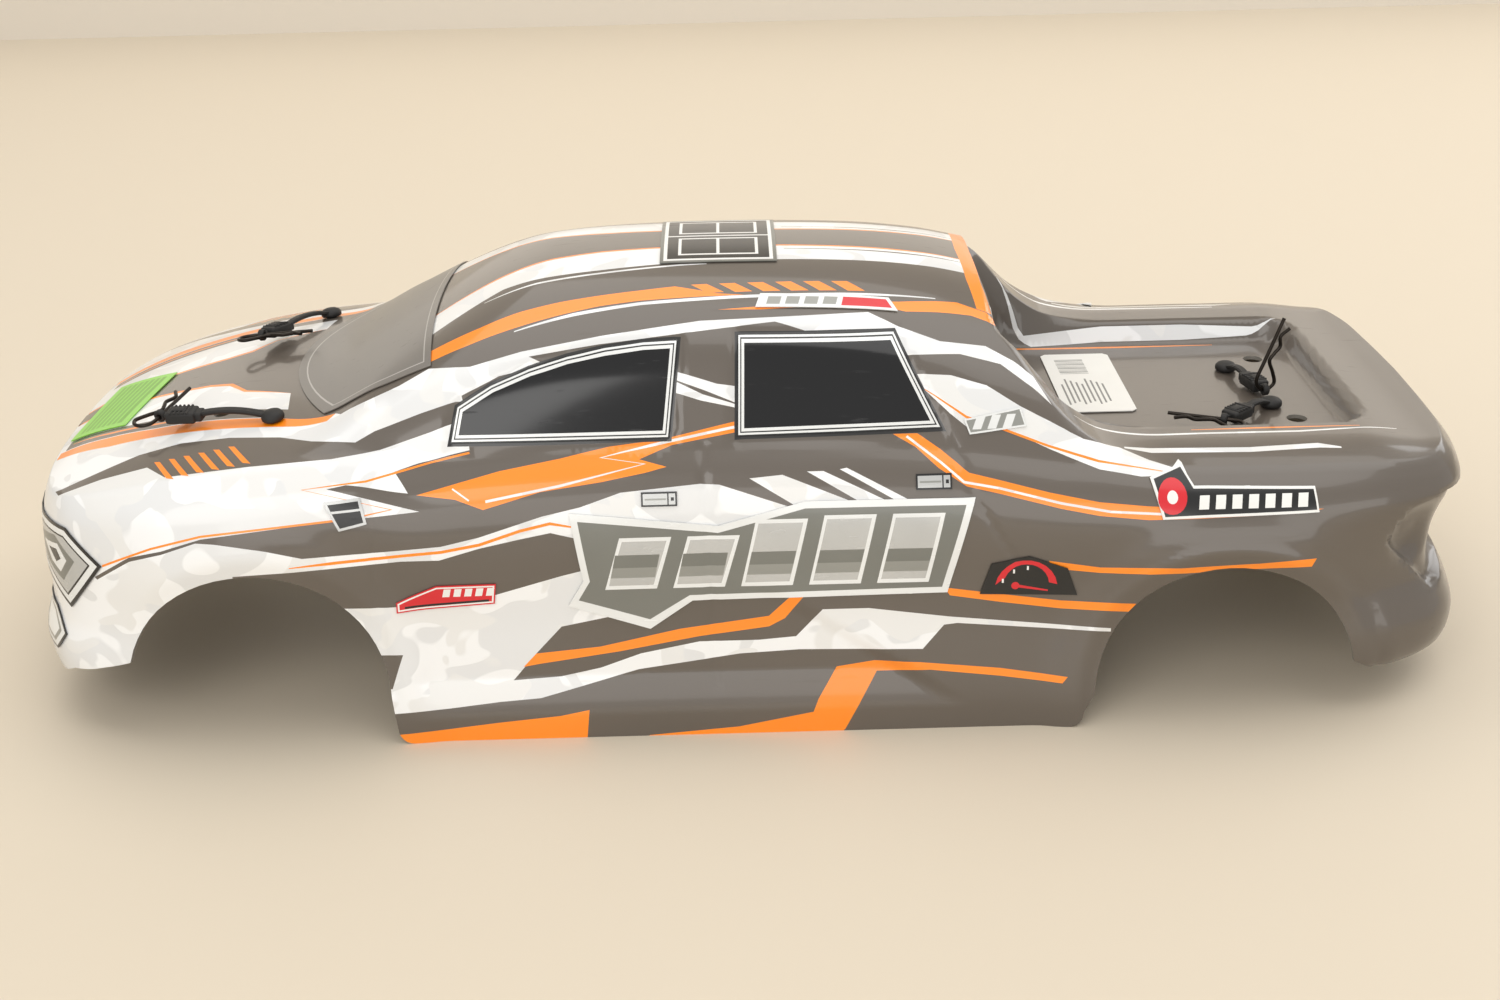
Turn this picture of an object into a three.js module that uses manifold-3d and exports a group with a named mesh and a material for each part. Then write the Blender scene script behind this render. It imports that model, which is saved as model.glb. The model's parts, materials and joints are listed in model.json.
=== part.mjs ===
// Painted polycarbonate body shell of a radio-controlled monster truck, with its
// stickers, rubber clip tethers and wire body clips. Millimetres, +Z up, nose to -X.
import * as THREE from "three";
import { mergeVertices } from "three/addons/utils/BufferGeometryUtils.js";
import Module from "manifold-3d";

const wasm = await Module();
wasm.setup();

// ---- driving dimensions ----
const LENGTH = 560;            // nose to tail
const WIDTH = 226;             // across the two door sills
const HEIGHT = 160;            // table to roof crown
const WALL = 1.6;              // polycarbonate sheet
const WHEELBASE = 362;         // front arch centre to rear arch centre
const FRONT_ARCH_RADIUS = 49.5;
const REAR_ARCH_RADIUS = 49.5;
const GAP = 0.3;               // clear air between two pieces that touch
const FILM = 0.4;              // sticker film
const BADGE = 0.8;             // domed badge film
const POST_HOLE_RADIUS = 4;    // hole for a body post
const POST_INSET = 10;         // thickness of body swept by a hole cutter
const STEM_RADIUS = 2;         // tether stem that passes through the shell
const STEM_CLEARANCE = 0.4;
const BUTTON_RADIUS = 4.4;     // tether button above the shell
const BUTTON_HEIGHT = 3;
const KEEPER_RADIUS = 3.8;     // tether button below the shell
const KEEPER_HEIGHT = 1.6;
const FRONT_STRAP = 36;        // button centre to holder centre
const REAR_STRAP = 24;
const STRAP_WIDTH = 3.4;
const STRAP_THICKNESS = 1.8;
const HOLDER_LENGTH = 12;
const HOLDER_WIDTH = 7.5;
const HOLDER_HEIGHT = 4.6;
const WIRE_RADIUS = 0.75;      // body clip wire
const WIRE_CLEARANCE = 0.35;   // wire in the holder's eye
const EYE_WALL = 1.3;
const EYE_LENGTH = 2.4;
const EYE_REACH = 0.6;         // how far the eye stands off the holder
const TETHER_FLOAT = 0.5;      // air between the shell and a tether, above and below it
const CLIP_LENGTH = 26;        // straight leg of a body clip
const LOOP_RADIUS = 4.2;       // round end of a body clip
const CLIP_TO_WALL = 17.9;     // eye of the near rear tether to the wall of the bed
const REAR_STEMS_APART = 42;   // across the bed, so the straps clear each other
const SILL_CORNER = 6;         // rounded bottom corners of the sills

// The body's form is drawn at these sizes and stretched to the three above. Its drawn middle
// is a little ahead of halfway, so the finished truck is moved by that much.
const FORM = { length: 560, width: 226, height: 160, middle: 2 };
const stretch = new THREE.Vector3(LENGTH / FORM.length, WIDTH / FORM.width, HEIGHT / FORM.height);

// ---- small maths ----
const clamp01 = (v) => Math.min(1, Math.max(0, v));
const ease = (a, b, v) => {
  const t = clamp01((v - a) / (b - a));
  return t * t * (3 - 2 * t);
};
const mix = (a, b, t) => a + (b - a) * t;
const softMax = (a, b, r) => Math.max(a, b) + Math.max(r - Math.abs(a - b), 0) ** 2 / (4 * r);
const softMin = (a, b, r) => -softMax(-a, -b, r);

// A smooth line through a few points, read at x (cubic, tangents from neighbours).
function profile(points) {
  return (x) => {
    const last = points.length - 1;
    if (x <= points[0][0]) return points[0][1];
    if (x >= points[last][0]) return points[last][1];
    let i = 0;
    while (x > points[i + 1][0]) i += 1;
    const slope = (j) => {
      const a = points[Math.max(j - 1, 0)];
      const b = points[Math.min(j + 1, last)];
      return (b[1] - a[1]) / (b[0] - a[0]);
    };
    const [x0, v0] = points[i];
    const [x1, v1] = points[i + 1];
    const h = x1 - x0;
    const t = (x - x0) / h;
    const rise = v1 - v0;
    return v0 + t * (h * slope(i) + t * (3 * rise - h * (2 * slope(i) + slope(i + 1))
      + t * (h * (slope(i) + slope(i + 1)) - 2 * rise)));
  };
}

// ---- the body's form ----
// Plan of the shoulder, from the middle of the nose round one side to the middle of the tail.
const shoulderCurve = new THREE.CatmullRomCurve3([
  [-269, 0], [-268, 30], [-265.5, 52], [-260, 70], [-247, 84], [-224, 91], [-190, 93.5],
  [-150, 92.5], [-100, 90], [-40, 88.5], [20, 88.5], [75, 89.5], [120, 92], [165, 93.5],
  [210, 93.5], [242, 92], [260, 84], [267.5, 64], [270, 34], [271, 0],
].map(([x, y]) => new THREE.Vector3(x, y, 0)), false, "centripetal");

const hoodLine = profile([[-280, 82], [-268, 89.5], [-252, 97], [-230, 104], [-200, 110.5],
  [-170, 114], [-140, 115], [-100, 108], [100, 104]]);
const roofLine = profile([[-130, 144], [-103, 151.5], [-75, 157], [-45, 159.5], [0, 160],
  [45, 158.7], [75, 155.5], [96, 151], [120, 146]]);
const sailLine = profile([[80, 156], [94, 148], [103, 136], [112, 124], [122, 112.5],
  [134, 104], [150, 98], [176, 90]]);
const tub = { x0: 101, x1: 243, halfWidth: 61, corner: 16, floor: 90, wall: 5.5 };

// Height of the upper surface over a point of the plan (y is the distance from the middle).
function topHeight(x, y) {
  const hood = hoodLine(x) - 8.5 * (y / 92) ** 2.6;
  const rail = 99.5 - 4 * clamp01((y - 72) / 20) ** 2 - 2.5 * ease(235, 262, x);
  const dx = Math.max(tub.x0 - x, x - tub.x1) + tub.corner;
  const dy = y - tub.halfWidth + tub.corner;
  const out = Math.hypot(Math.max(dx, 0), Math.max(dy, 0)) + Math.min(Math.max(dx, dy), 0)
    - tub.corner;
  const bed = mix(rail, tub.floor, ease(1, -tub.wall, out));
  const deck = mix(hood, bed, ease(60, 100, x));
  const screen = 113 + 0.55 * (x + 165) - 5.5 * (y / 62) ** 2;
  const roof = roofLine(x) - 13.5 * (y / 60) ** 2.6;
  const glass = 108 + 2 * (88.5 - y);
  const back = mix(150 - 5 * (x - 96), sailLine(x), ease(50, 62, y));
  let cab = softMin(screen, roof, 8);
  cab = softMin(cab, glass, 9);
  cab = softMin(cab, back, 5);
  return softMax(cab, deck, 5);
}

// How far the wall stands outside the shoulder, by its height as a share of the shoulder's.
const noseOut = profile([[0, -4], [0.13, 1], [0.2, 7.5], [0.28, 9], [0.37, 8.5], [0.47, 5.5],
  [0.7, 4.6], [0.88, 3.4], [0.96, 1.6], [1, 0]]);
const tailOut = profile([[0, -3], [0.12, 2], [0.2, 9], [0.32, 11], [0.42, 7.5], [0.5, 3.5],
  [0.6, 2.6], [0.74, 5.5], [0.86, 8], [0.94, 5], [1, 0]]);
const sideOut = profile([[0, 24.5], [0.12, 24], [0.28, 21], [0.42, 18.2], [0.55, 16.6],
  [0.7, 15.4], [0.82, 13], [0.92, 8.5], [1, 0]]);
const SILL_SHOULDER = 88.5;
const arches = [
  { x: -WHEELBASE / 2, z: 19, r: FRONT_ARCH_RADIUS, flare: 2, lean: 1.5 },
  { x: WHEELBASE / 2, z: 12.5, r: REAR_ARCH_RADIUS, flare: 3.5, lean: 4 },
];

function wallOut(x, y, share, z) {
  const front = ease(-205, -262, x);
  const rear = ease(200, 262, x);
  let out = sideOut(share) + (SILL_SHOULDER - y) * ease(0.85, 0.3, share);
  out = mix(out, noseOut(share), front);
  out = mix(out, tailOut(share), rear);
  const lamp = Math.hypot((x - 252) / 14, (z - 66) / 15);
  out -= 4.5 * ease(1, 0.2, lamp) * ease(40, 70, y);
  for (const arch of arches) {
    const away = Math.hypot(x * stretch.x - arch.x, z * stretch.z - arch.z) - arch.r;
    out += arch.flare * Math.exp(-(((away - 9) / 7) ** 2)) * (1 - front) * (1 - rear);
  }
  return out;
}

// Stations round the shoulder and rows from the table up and over to the centre line.
const STATIONS = 42;
const SPINE = { front: -236, rear: 236 };
const WALL_ROWS = [-0.04, 0.1, 0.2, 0.3, 0.42, 0.56, 0.72, 0.86, 0.95, 1];
const TOP_ROWS = [0.05, 0.12, 0.2, 0.27, 0.34, 0.41, 0.6, 0.8, 1];
const stationMarks = profile([[0, 0], [0.36, 0.355], [0.52, 0.53], [0.62, 0.665], [0.73, 0.725],
  [1, 1]]);

function station(i) {
  const u = stationMarks(i / STATIONS);
  const p = shoulderCurve.getPointAt(clamp01(u));
  const t = shoulderCurve.getTangentAt(clamp01(u));
  const middle = i === 0 || i === STATIONS;
  const spread = (p.x - SPINE.front) / (shoulderCurve.points[0].x - SPINE.front);
  const behind = (p.x - SPINE.rear) / (shoulderCurve.points.at(-1).x - SPINE.rear);
  let spineX = p.x;
  if (spread > 0) spineX = SPINE.front - 22 * spread ** 2;
  if (behind > 0) spineX = SPINE.rear + 22 * behind ** 2;
  return {
    x: p.x,
    y: middle ? 0 : p.y,
    nx: middle ? Math.sign(p.x) : -t.y,
    ny: middle ? 0 : t.x,
    spineX,
  };
}

// One column of surface points at a station, in the drawn form's own sizes.
function column(i) {
  const s = station(i);
  const shoulder = topHeight(s.x, s.y);
  const points = WALL_ROWS.map((share) => {
    const z = share * shoulder;
    const out = share === 1 ? 0 : wallOut(s.x, s.y, clamp01(share), z);
    return new THREE.Vector3(s.x + s.nx * out, s.y + s.ny * out, z);
  });
  for (const w of TOP_ROWS) {
    const x = mix(s.x, s.spineX, w);
    const y = mix(s.y, 0, w);
    points.push(new THREE.Vector3(x, y, topHeight(x, y)));
  }
  return points;
}

// The grid of the whole body: near side columns, then the mirrored far side back to the nose.
const nearSide = [];
for (let i = 0; i <= STATIONS; i += 1) {
  nearSide.push(column(i).map((p) => new THREE.Vector3(p.x, -p.y, p.z).multiply(stretch)));
}
const farSide = nearSide.slice(1, -1).reverse()
  .map((line) => line.map((p) => new THREE.Vector3(p.x, -p.y, p.z)));
const grid = [...nearSide, ...farSide];
const ROWS = grid[0].length;
const RING = grid.length;

// Triangles of one skin; the far side's quads split the mirrored way.
function skinIndex() {
  const index = [];
  for (let c = 0; c < RING; c += 1) {
    const d = (c + 1) % RING;
    for (let r = 0; r + 1 < ROWS; r += 1) {
      const quad = [c * ROWS + r, d * ROWS + r, d * ROWS + r + 1, c * ROWS + r + 1];
      if (c < STATIONS) index.push(quad[0], quad[1], quad[2], quad[0], quad[2], quad[3]);
      else index.push(quad[0], quad[1], quad[3], quad[1], quad[2], quad[3]);
    }
  }
  return index;
}

const SAME_POINT = 0.001;

function weld(geometry) {
  const bare = geometry.index ? geometry : geometry.clone();
  bare.deleteAttribute("normal");
  bare.deleteAttribute("uv");
  return mergeVertices(bare, SAME_POINT);
}

// Unit outward directions at the grid's points, averaged over the welded skin.
function skinNormals() {
  const geometry = new THREE.BufferGeometry();
  geometry.setAttribute("position", new THREE.Float32BufferAttribute(
    grid.flat().flatMap((p) => [p.x, p.y, p.z]), 3));
  geometry.setIndex(skinIndex());
  geometry.computeVertexNormals();
  const n = geometry.attributes.normal;
  const normals = grid.map((line, c) => line.map((_, r) =>
    new THREE.Vector3().fromBufferAttribute(n, c * ROWS + r)));
  normals.forEach((line, c) => {
    const twin = normals[(RING - c) % RING][ROWS - 1];
    const spine = line[ROWS - 1];
    spine.set(spine.x + twin.x, 0, spine.z + twin.z).normalize();
    if (c === 0 || c === STATIONS) line.forEach((v) => v.setY(0).normalize());
  });
  return normals;
}
const normals = skinNormals();

function toManifold(geometry) {
  const welded = weld(geometry);
  return new wasm.Manifold(new wasm.Mesh({
    numProp: 3,
    vertProperties: new Float32Array(welded.attributes.position.array),
    triVerts: new Uint32Array(welded.index.array),
  }));
}

function toGeometry(solid) {
  const mesh = solid.getMesh();
  const geometry = new THREE.BufferGeometry();
  geometry.setAttribute("position", new THREE.Float32BufferAttribute(mesh.vertProperties, 3));
  geometry.setIndex(Array.from(mesh.triVerts));
  return geometry;
}

// A closed layer between two distances from the body's surface.
function layer(inner, outer) {
  const skins = [outer, inner].map((distance) => grid.flatMap((line, c) =>
    line.flatMap((p, r) => p.clone().addScaledVector(normals[c][r], distance).toArray())));
  const count = RING * ROWS;
  const index = skinIndex();
  const inward = [];
  for (let k = 0; k < index.length; k += 3) {
    inward.push(index[k] + count, index[k + 2] + count, index[k + 1] + count);
  }
  const rim = [];
  for (let c = 0; c < RING; c += 1) {
    const a = c * ROWS;
    const b = ((c + 1) % RING) * ROWS;
    rim.push(b, a, a + count, b, a + count, b + count);
  }
  const geometry = new THREE.BufferGeometry();
  geometry.setAttribute("position", new THREE.Float32BufferAttribute(skins.flat(), 3));
  geometry.setIndex([...index, ...inward, ...rim]);
  return toManifold(geometry);
}

// ---- cutters ----
function drawn(points) {
  return new THREE.Shape(points.map(([a, b]) => new THREE.Vector2(a, b)));
}

// A flat outline in (x, z) pushed across the body from y = from to y = to.
function acrossBody(shape, from, to) {
  const geometry = new THREE.ExtrudeGeometry(shape, {
    depth: to - from, bevelEnabled: false, curveSegments: 10 });
  geometry.rotateX(Math.PI / 2);
  geometry.translate(0, to, 0);
  return toManifold(geometry);
}

// A flat outline in (x, y) pushed up through the body from z = from to z = to.
function upThrough(shape, from, to, curveSegments = 10) {
  const geometry = new THREE.ExtrudeGeometry(shape, {
    depth: to - from, bevelEnabled: false, curveSegments });
  geometry.translate(0, 0, from);
  return toManifold(geometry);
}

// A flat outline in (y, z) pushed along the body from x = from to x = to.
function alongBody(shape, from, to) {
  const geometry = new THREE.ExtrudeGeometry(shape, {
    depth: to - from, bevelEnabled: false, curveSegments: 10 });
  geometry.rotateZ(Math.PI / 2);
  geometry.rotateY(Math.PI / 2);
  geometry.translate(from, 0, 0);
  return toManifold(geometry);
}

const CLEAR = 60;              // how far a cutter runs past the body
const noseTip = { archZ: 33, cornerX: -252, cornerZ: 25, z: 15 };
const tailTip = { archZ: 21, tipX: 237, tipZ: 17, cornerX: 258, z: 14 };

function archCutter(arch, side) {
  const lip = side < 0 ? noseTip.archZ : tailTip.archZ;
  const angle = Math.asin((lip - arch.z) / arch.r);
  const cornerX = arch.x - side * (arch.r + arch.lean + SILL_CORNER);
  const shape = new THREE.Shape();
  shape.moveTo(cornerX, -CLEAR);
  shape.absarc(cornerX, SILL_CORNER, SILL_CORNER, -Math.PI / 2, side < 0 ? -Math.PI : 0, side < 0);
  shape.lineTo(arch.x - side * arch.r, arch.z);
  shape.absarc(arch.x, arch.z, arch.r, side < 0 ? 0 : Math.PI, side < 0 ? Math.PI - angle : angle,
    side > 0);
  if (side < 0) {
    shape.lineTo(noseTip.cornerX * stretch.x, noseTip.cornerZ);
    shape.lineTo(-LENGTH / 2 + 14, noseTip.z);
    shape.lineTo(-LENGTH / 2 - CLEAR, noseTip.z);
    shape.lineTo(-LENGTH / 2 - CLEAR, -CLEAR);
  } else {
    shape.lineTo(tailTip.tipX * stretch.x, tailTip.tipZ);
    shape.lineTo(tailTip.cornerX * stretch.x, tailTip.z);
    shape.lineTo(LENGTH / 2 + CLEAR, tailTip.z);
    shape.lineTo(LENGTH / 2 + CLEAR, -CLEAR);
  }
  return acrossBody(shape, -WIDTH / 2 - CLEAR, WIDTH / 2 + CLEAR);
}

// ---- places on the body ----
// A point of the upper surface over a drawn plan point, with its upward direction.
function seat(x, y) {
  const step = 2;
  const at = (px, py) => new THREE.Vector3(px, py, topHeight(px, Math.abs(py))).multiply(stretch);
  const along = at(x + step, y).sub(at(x - step, y));
  const across = at(x, y + step).sub(at(x, y - step));
  return { point: at(x, y), up: along.cross(across).normalize() };
}

function cylinder(radius, height, sides = 14) {
  const geometry = new THREE.CylinderGeometry(radius, radius, height, sides);
  geometry.rotateX(Math.PI / 2);
  return geometry;
}

function holeAt(place, radius) {
  const geometry = cylinder(radius, POST_INSET * 2);
  const turn = new THREE.Quaternion().setFromUnitVectors(new THREE.Vector3(0, 0, 1), place.up);
  geometry.applyQuaternion(turn);
  geometry.translate(...place.point.toArray());
  return toManifold(geometry);
}

const frontPosts = [-1, 1].map((side) => seat(-197, side * 47));
const rearPosts = [-1, 1].map((side) => seat(222, side * 34));
const anchors = {
  front_left: { at: seat(-175, -60), heading: 171 },
  front_right: { at: seat(-175, 60), heading: 243 },
  rear_left: { at: seat(215, 21 - REAR_STEMS_APART / stretch.y) },
  rear_right: { at: seat(207, 21), heading: 284 },
};
// The near rear tether points at a spot CLIP_TO_WALL inside the wall of the bed.
const EYE_AHEAD = 24.5;
const wallSpot = CLIP_TO_WALL - tub.halfWidth * stretch.y;
anchors.rear_left.heading = THREE.MathUtils.radToDeg(
  Math.atan2(wallSpot - anchors.rear_left.at.point.y, -EYE_AHEAD));

// ---- body shell ----
const truck = new THREE.Group();
const material = (color, roughness, metalness = 0) =>
  new THREE.MeshStandardMaterial({ color, roughness, metalness });

function add(name, geometry, finish, parent = truck) {
  const mesh = new THREE.Mesh(geometry, finish);
  mesh.name = name;
  parent.add(mesh);
  return mesh;
}

const underTable = upThrough(drawn([
  [-LENGTH, -WIDTH], [LENGTH, -WIDTH], [LENGTH, WIDTH], [-LENGTH, WIDTH]]), -CLEAR, 0);
let shell = layer(-WALL, 0).subtract(underTable);
shell = shell.subtract(archCutter(arches[0], -1)).subtract(archCutter(arches[1], 1));
for (const post of [...frontPosts, ...rearPosts]) {
  shell = shell.subtract(holeAt(post, POST_HOLE_RADIUS));
}
for (const anchor of Object.values(anchors)) {
  shell = shell.subtract(holeAt(anchor.at, STEM_RADIUS + STEM_CLEARANCE));
}
add("body_shell", toGeometry(shell), material(0x5b544b, 0.35));

// ---- stickers and badges ----
const film = layer(GAP, GAP + FILM);
const domed = layer(GAP, GAP + BADGE);
const sx = (x) => x * stretch.x;
const sz = (z) => z * stretch.z;
const sy = (y) => y * stretch.y;

// A pair of stickers on the two sides, from one outline in (x, z).
function sidePair(name, points, finish, skin = film, reach = 86) {
  const shape = drawn(points.map(([x, z]) => [sx(x), sz(z)]));
  const edge = WIDTH / 2 + CLEAR;
  add(`${name}_left`, toGeometry(skin.intersect(acrossBody(shape, -edge, -sy(reach)))), finish);
  add(`${name}_right`, toGeometry(skin.intersect(acrossBody(shape, sy(reach), edge))), finish);
}

function onTop(name, shape, finish, skin = film) {
  add(name, toGeometry(skin.intersect(upThrough(shape, sz(60), HEIGHT + CLEAR))), finish);
}

const smoked = () => material(0x101114, 0.12);
const silver = () => material(0xb9bbbd, 0.3, 0.6);
const red = () => material(0xc22026, 0.3);
const white = () => material(0xe8e8e4, 0.45);

const screenShape = new THREE.Shape();
screenShape.moveTo(sx(-155), sy(-63));
screenShape.quadraticCurveTo(sx(-178), 0, sx(-155), sy(63));
screenShape.lineTo(sx(-113), sy(64));
screenShape.quadraticCurveTo(sx(-119), 0, sx(-113), sy(-64));
onTop("windshield_decal", screenShape, material(0x6c6a66, 0.4));
sidePair("side_window_front", [[-105, 110], [-25, 110], [-21, 141], [-34, 140.6], [-48, 139.2],
  [-62, 136.8], [-76, 133.2], [-90, 128.2], [-102.5, 121.5]], smoked(), film, 55);
sidePair("side_window_rear", [[0, 110], [75, 111], [59, 141], [1, 142]], smoked(), film, 55);
add("rear_window_decal", toGeometry(film.intersect(alongBody(drawn(
  [[-40, 113], [40, 113], [36, 139], [-36, 139]].map(([y, z]) => [sy(y), sz(z)])),
sx(85), sx(125)))), smoked());
add("grille_decal", toGeometry(domed.intersect(alongBody(drawn(
  [[-46, 46], [46, 46], [50, 60], [46, 78], [-46, 78], [-50, 60]].map(([y, z]) => [sy(y), sz(z)])),
sx(-300), sx(-240)))), material(0x17171a, 0.35));
sidePair("headlight_decal", [[-274, 80], [-250, 81], [-235, 70], [-252, 49], [-265, 57],
  [-272, 61]], material(0xd9dcdc, 0.15), film, 50);
sidePair("fog_light_decal", [[-274, 45], [-262, 44], [-256, 37], [-262, 29], [-272, 29]],
  material(0xcfd2d2, 0.2), film, 50);
const handle = (x, z) => [[x - 6.5, z - 2.5], [x + 6.5, z - 2.5], [x + 6.5, z + 2.5],
  [x - 6.5, z + 2.5]];
sidePair("front_door_handle", handle(-29, 92), silver());
sidePair("rear_door_handle", handle(71, 95.5), silver());
sidePair("fender_vent_badge", [[-150, 95], [-137, 96], [-135, 87], [-145, 85]],
  material(0x1b1b1d, 0.3));
sidePair("door_emblem", [[-64, 52], [-58, 62], [-62, 88], [-8, 82], [24, 90], [86, 90], [76, 54],
  [-18, 53], [-34, 42]], silver(), domed);
sidePair("quarter_badge", [[83, 114], [104, 117], [106, 111], [85, 109]], silver(), film, 70);
sidePair("rear_fender_badge", [[150, 94], [162, 97], [166, 91], [210, 90], [211, 82], [154, 81]],
  red(), domed);
sidePair("front_fender_badge", [[-127, 56], [-112, 62], [-90, 62], [-91, 54], [-127, 52]], red());
sidePair("gauge_badge", [[88, 53], [92, 65], [106, 68], [120, 63], [124, 52]], red());
onTop("roof_plate_decal", drawn([[-28, -28], [17, -28], [17, 28], [-28, 28]]
  .map(([x, y]) => [sx(x), sy(y)])), material(0x2b2a2a, 0.35));
for (const [name, side] of [["roof_badge_left", -1], ["roof_badge_right", 1]]) {
  const outline = [[10, 49], [58, 50], [61, 56], [8, 55.5]];
  const points = outline.map(([x, y]) => [sx(x), sy(side * y)]);
  onTop(name, drawn(side < 0 ? points : points.reverse()), red());
}
onTop("hood_label", drawn([[-264, -29], [-239, -37], [-231, 13], [-258, 22]]
  .map(([x, y]) => [sx(x), sy(y)])), material(0x8fdc4a, 0.5));
onTop("bed_label", drawn([[132, -23], [161, -23], [161, 44], [132, 44]]
  .map(([x, y]) => [sx(x), sy(y)])), white());

// ---- rubber tethers ----
// A strip laid along a smooth path, with a rectangular or round section.
function swept(points, section, steps) {
  const path = new THREE.CatmullRomCurve3(points.map((p) => new THREE.Vector3(...p)), false,
    "centripetal");
  return new THREE.ExtrudeGeometry(section, { steps, bevelEnabled: false, extrudePath: path });
}

function ring(radius, sides) {
  const points = [];
  for (let k = 0; k < sides; k += 1) {
    const angle = (2 * Math.PI * k) / sides;
    points.push([radius * Math.cos(angle), radius * Math.sin(angle)]);
  }
  return drawn(points);
}

const eyeRadius = WIRE_RADIUS + WIRE_CLEARANCE + EYE_WALL;
const eyeAfter = (strap) => strap + HOLDER_LENGTH / 2 + eyeRadius + EYE_REACH;

// The tether in its own frame: stem down -Z through the shell, strap and holder along +X.
function tether(strapLength, lift, eyeTurn) {
  const holderStart = strapLength - HOLDER_LENGTH / 2;
  const eyeX = eyeAfter(strapLength);
  const floor = TETHER_FLOAT;
  const button = cylinder(BUTTON_RADIUS, BUTTON_HEIGHT).translate(0, 0, floor + BUTTON_HEIGHT / 2);
  const dome = cylinder(BUTTON_RADIUS * 0.72, 1).translate(0, 0, floor + BUTTON_HEIGHT + 0.4);
  const keeperTop = -WALL - TETHER_FLOAT;
  const stemBottom = keeperTop - KEEPER_HEIGHT;
  const stem = cylinder(STEM_RADIUS, floor + 1 - stemBottom, 12)
    .translate(0, 0, (floor + 1 + stemBottom) / 2);
  const keeper = cylinder(KEEPER_RADIUS, KEEPER_HEIGHT)
    .translate(0, 0, keeperTop - KEEPER_HEIGHT / 2);
  const strapZ = floor + STRAP_THICKNESS / 2 + 0.4;
  const strap = swept([[2, 0, strapZ + 0.4], [holderStart * 0.5, 0, strapZ + 1.6],
    [holderStart + 2, 0, strapZ + lift + 0.9]],
  drawn([[-STRAP_THICKNESS / 2, -STRAP_WIDTH / 2], [STRAP_THICKNESS / 2, -STRAP_WIDTH / 2],
    [STRAP_THICKNESS / 2, STRAP_WIDTH / 2], [-STRAP_THICKNESS / 2, STRAP_WIDTH / 2]]), 8);
  const block = new THREE.BoxGeometry(HOLDER_LENGTH, HOLDER_WIDTH, HOLDER_HEIGHT)
    .translate(strapLength, 0, floor + lift + HOLDER_HEIGHT / 2);
  const collar = new THREE.BoxGeometry(3, HOLDER_WIDTH * 0.7, HOLDER_HEIGHT * 0.8)
    .translate(holderStart - 1, 0, floor + lift + HOLDER_HEIGHT * 0.45);
  const eyeZ = floor + lift + HOLDER_HEIGHT / 2;
  const eye = cylinder(eyeRadius, EYE_LENGTH, 12).rotateX(Math.PI / 2).rotateZ(eyeTurn)
    .translate(eyeX, 0, eyeZ);
  const neckLength = eyeRadius + EYE_REACH + 1;
  const neck = new THREE.BoxGeometry(neckLength, EYE_LENGTH * 0.8, eyeRadius)
    .translate(eyeX - neckLength / 2, 0, eyeZ);
  const bore = cylinder(WIRE_RADIUS + WIRE_CLEARANCE, EYE_LENGTH * 3, 12).rotateX(Math.PI / 2)
    .rotateZ(eyeTurn).translate(eyeX, 0, eyeZ);
  let solid = toManifold(button);
  for (const piece of [dome, stem, keeper, strap, block, collar, eye, neck]) {
    solid = solid.add(toManifold(piece));
  }
  return toGeometry(solid.subtract(toManifold(bore)));
}

// ---- wire body clips ----
const CLIP_LEAN = 0.38;        // how far a clip held by its loop tips along the eye's axis

// Wire path in the clip's plane: straight leg on v = 0, round loop, then the wavy leg back.
function clipPath() {
  const r = LOOP_RADIUS;
  const pinch = 2 * WIRE_RADIUS + 0.5;
  const loop = [];
  for (let k = 0; k <= 6; k += 1) {
    const angle = -Math.PI / 2 - (k * Math.PI) / 6;
    loop.push([r * Math.cos(angle), r + r * Math.sin(angle)]);
  }
  return [[CLIP_LENGTH, 0], [CLIP_LENGTH * 0.6, 0], [CLIP_LENGTH * 0.25, 0], ...loop,
    [r * 0.9, r * 1.35], [r * 1.9, pinch], [r * 2.7, pinch * 1.35], [r * 3.5, pinch * 1.9],
    [r * 4.4, pinch], [r * 5.4, pinch * 2.2]];
}

// held "loop": the eye grips the round end and the clip stands on it.
// held "leg": the eye grips the straight leg near the loop and the clip lies beside it.
// way is +1 or -1: the side of the eye on which the legs leave.
function clip(held, way) {
  const section = ring(WIRE_RADIUS, 6);
  const cos = Math.cos(CLIP_LEAN);
  const sin = Math.sin(CLIP_LEAN);
  const points = clipPath().map(([u, v]) => {
    const across = v - LOOP_RADIUS;
    return held === "loop"
      ? [0, across * cos + u * sin, u * cos - across * sin + LOOP_RADIUS]
      : [v, way * (u - LOOP_RADIUS), 0];
  });
  return swept(points, section, 36);
}

const rubber = () => material(0x1c1b1a, 0.7);
const wire = () => material(0x2a2724, 0.35, 0.8);

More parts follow.
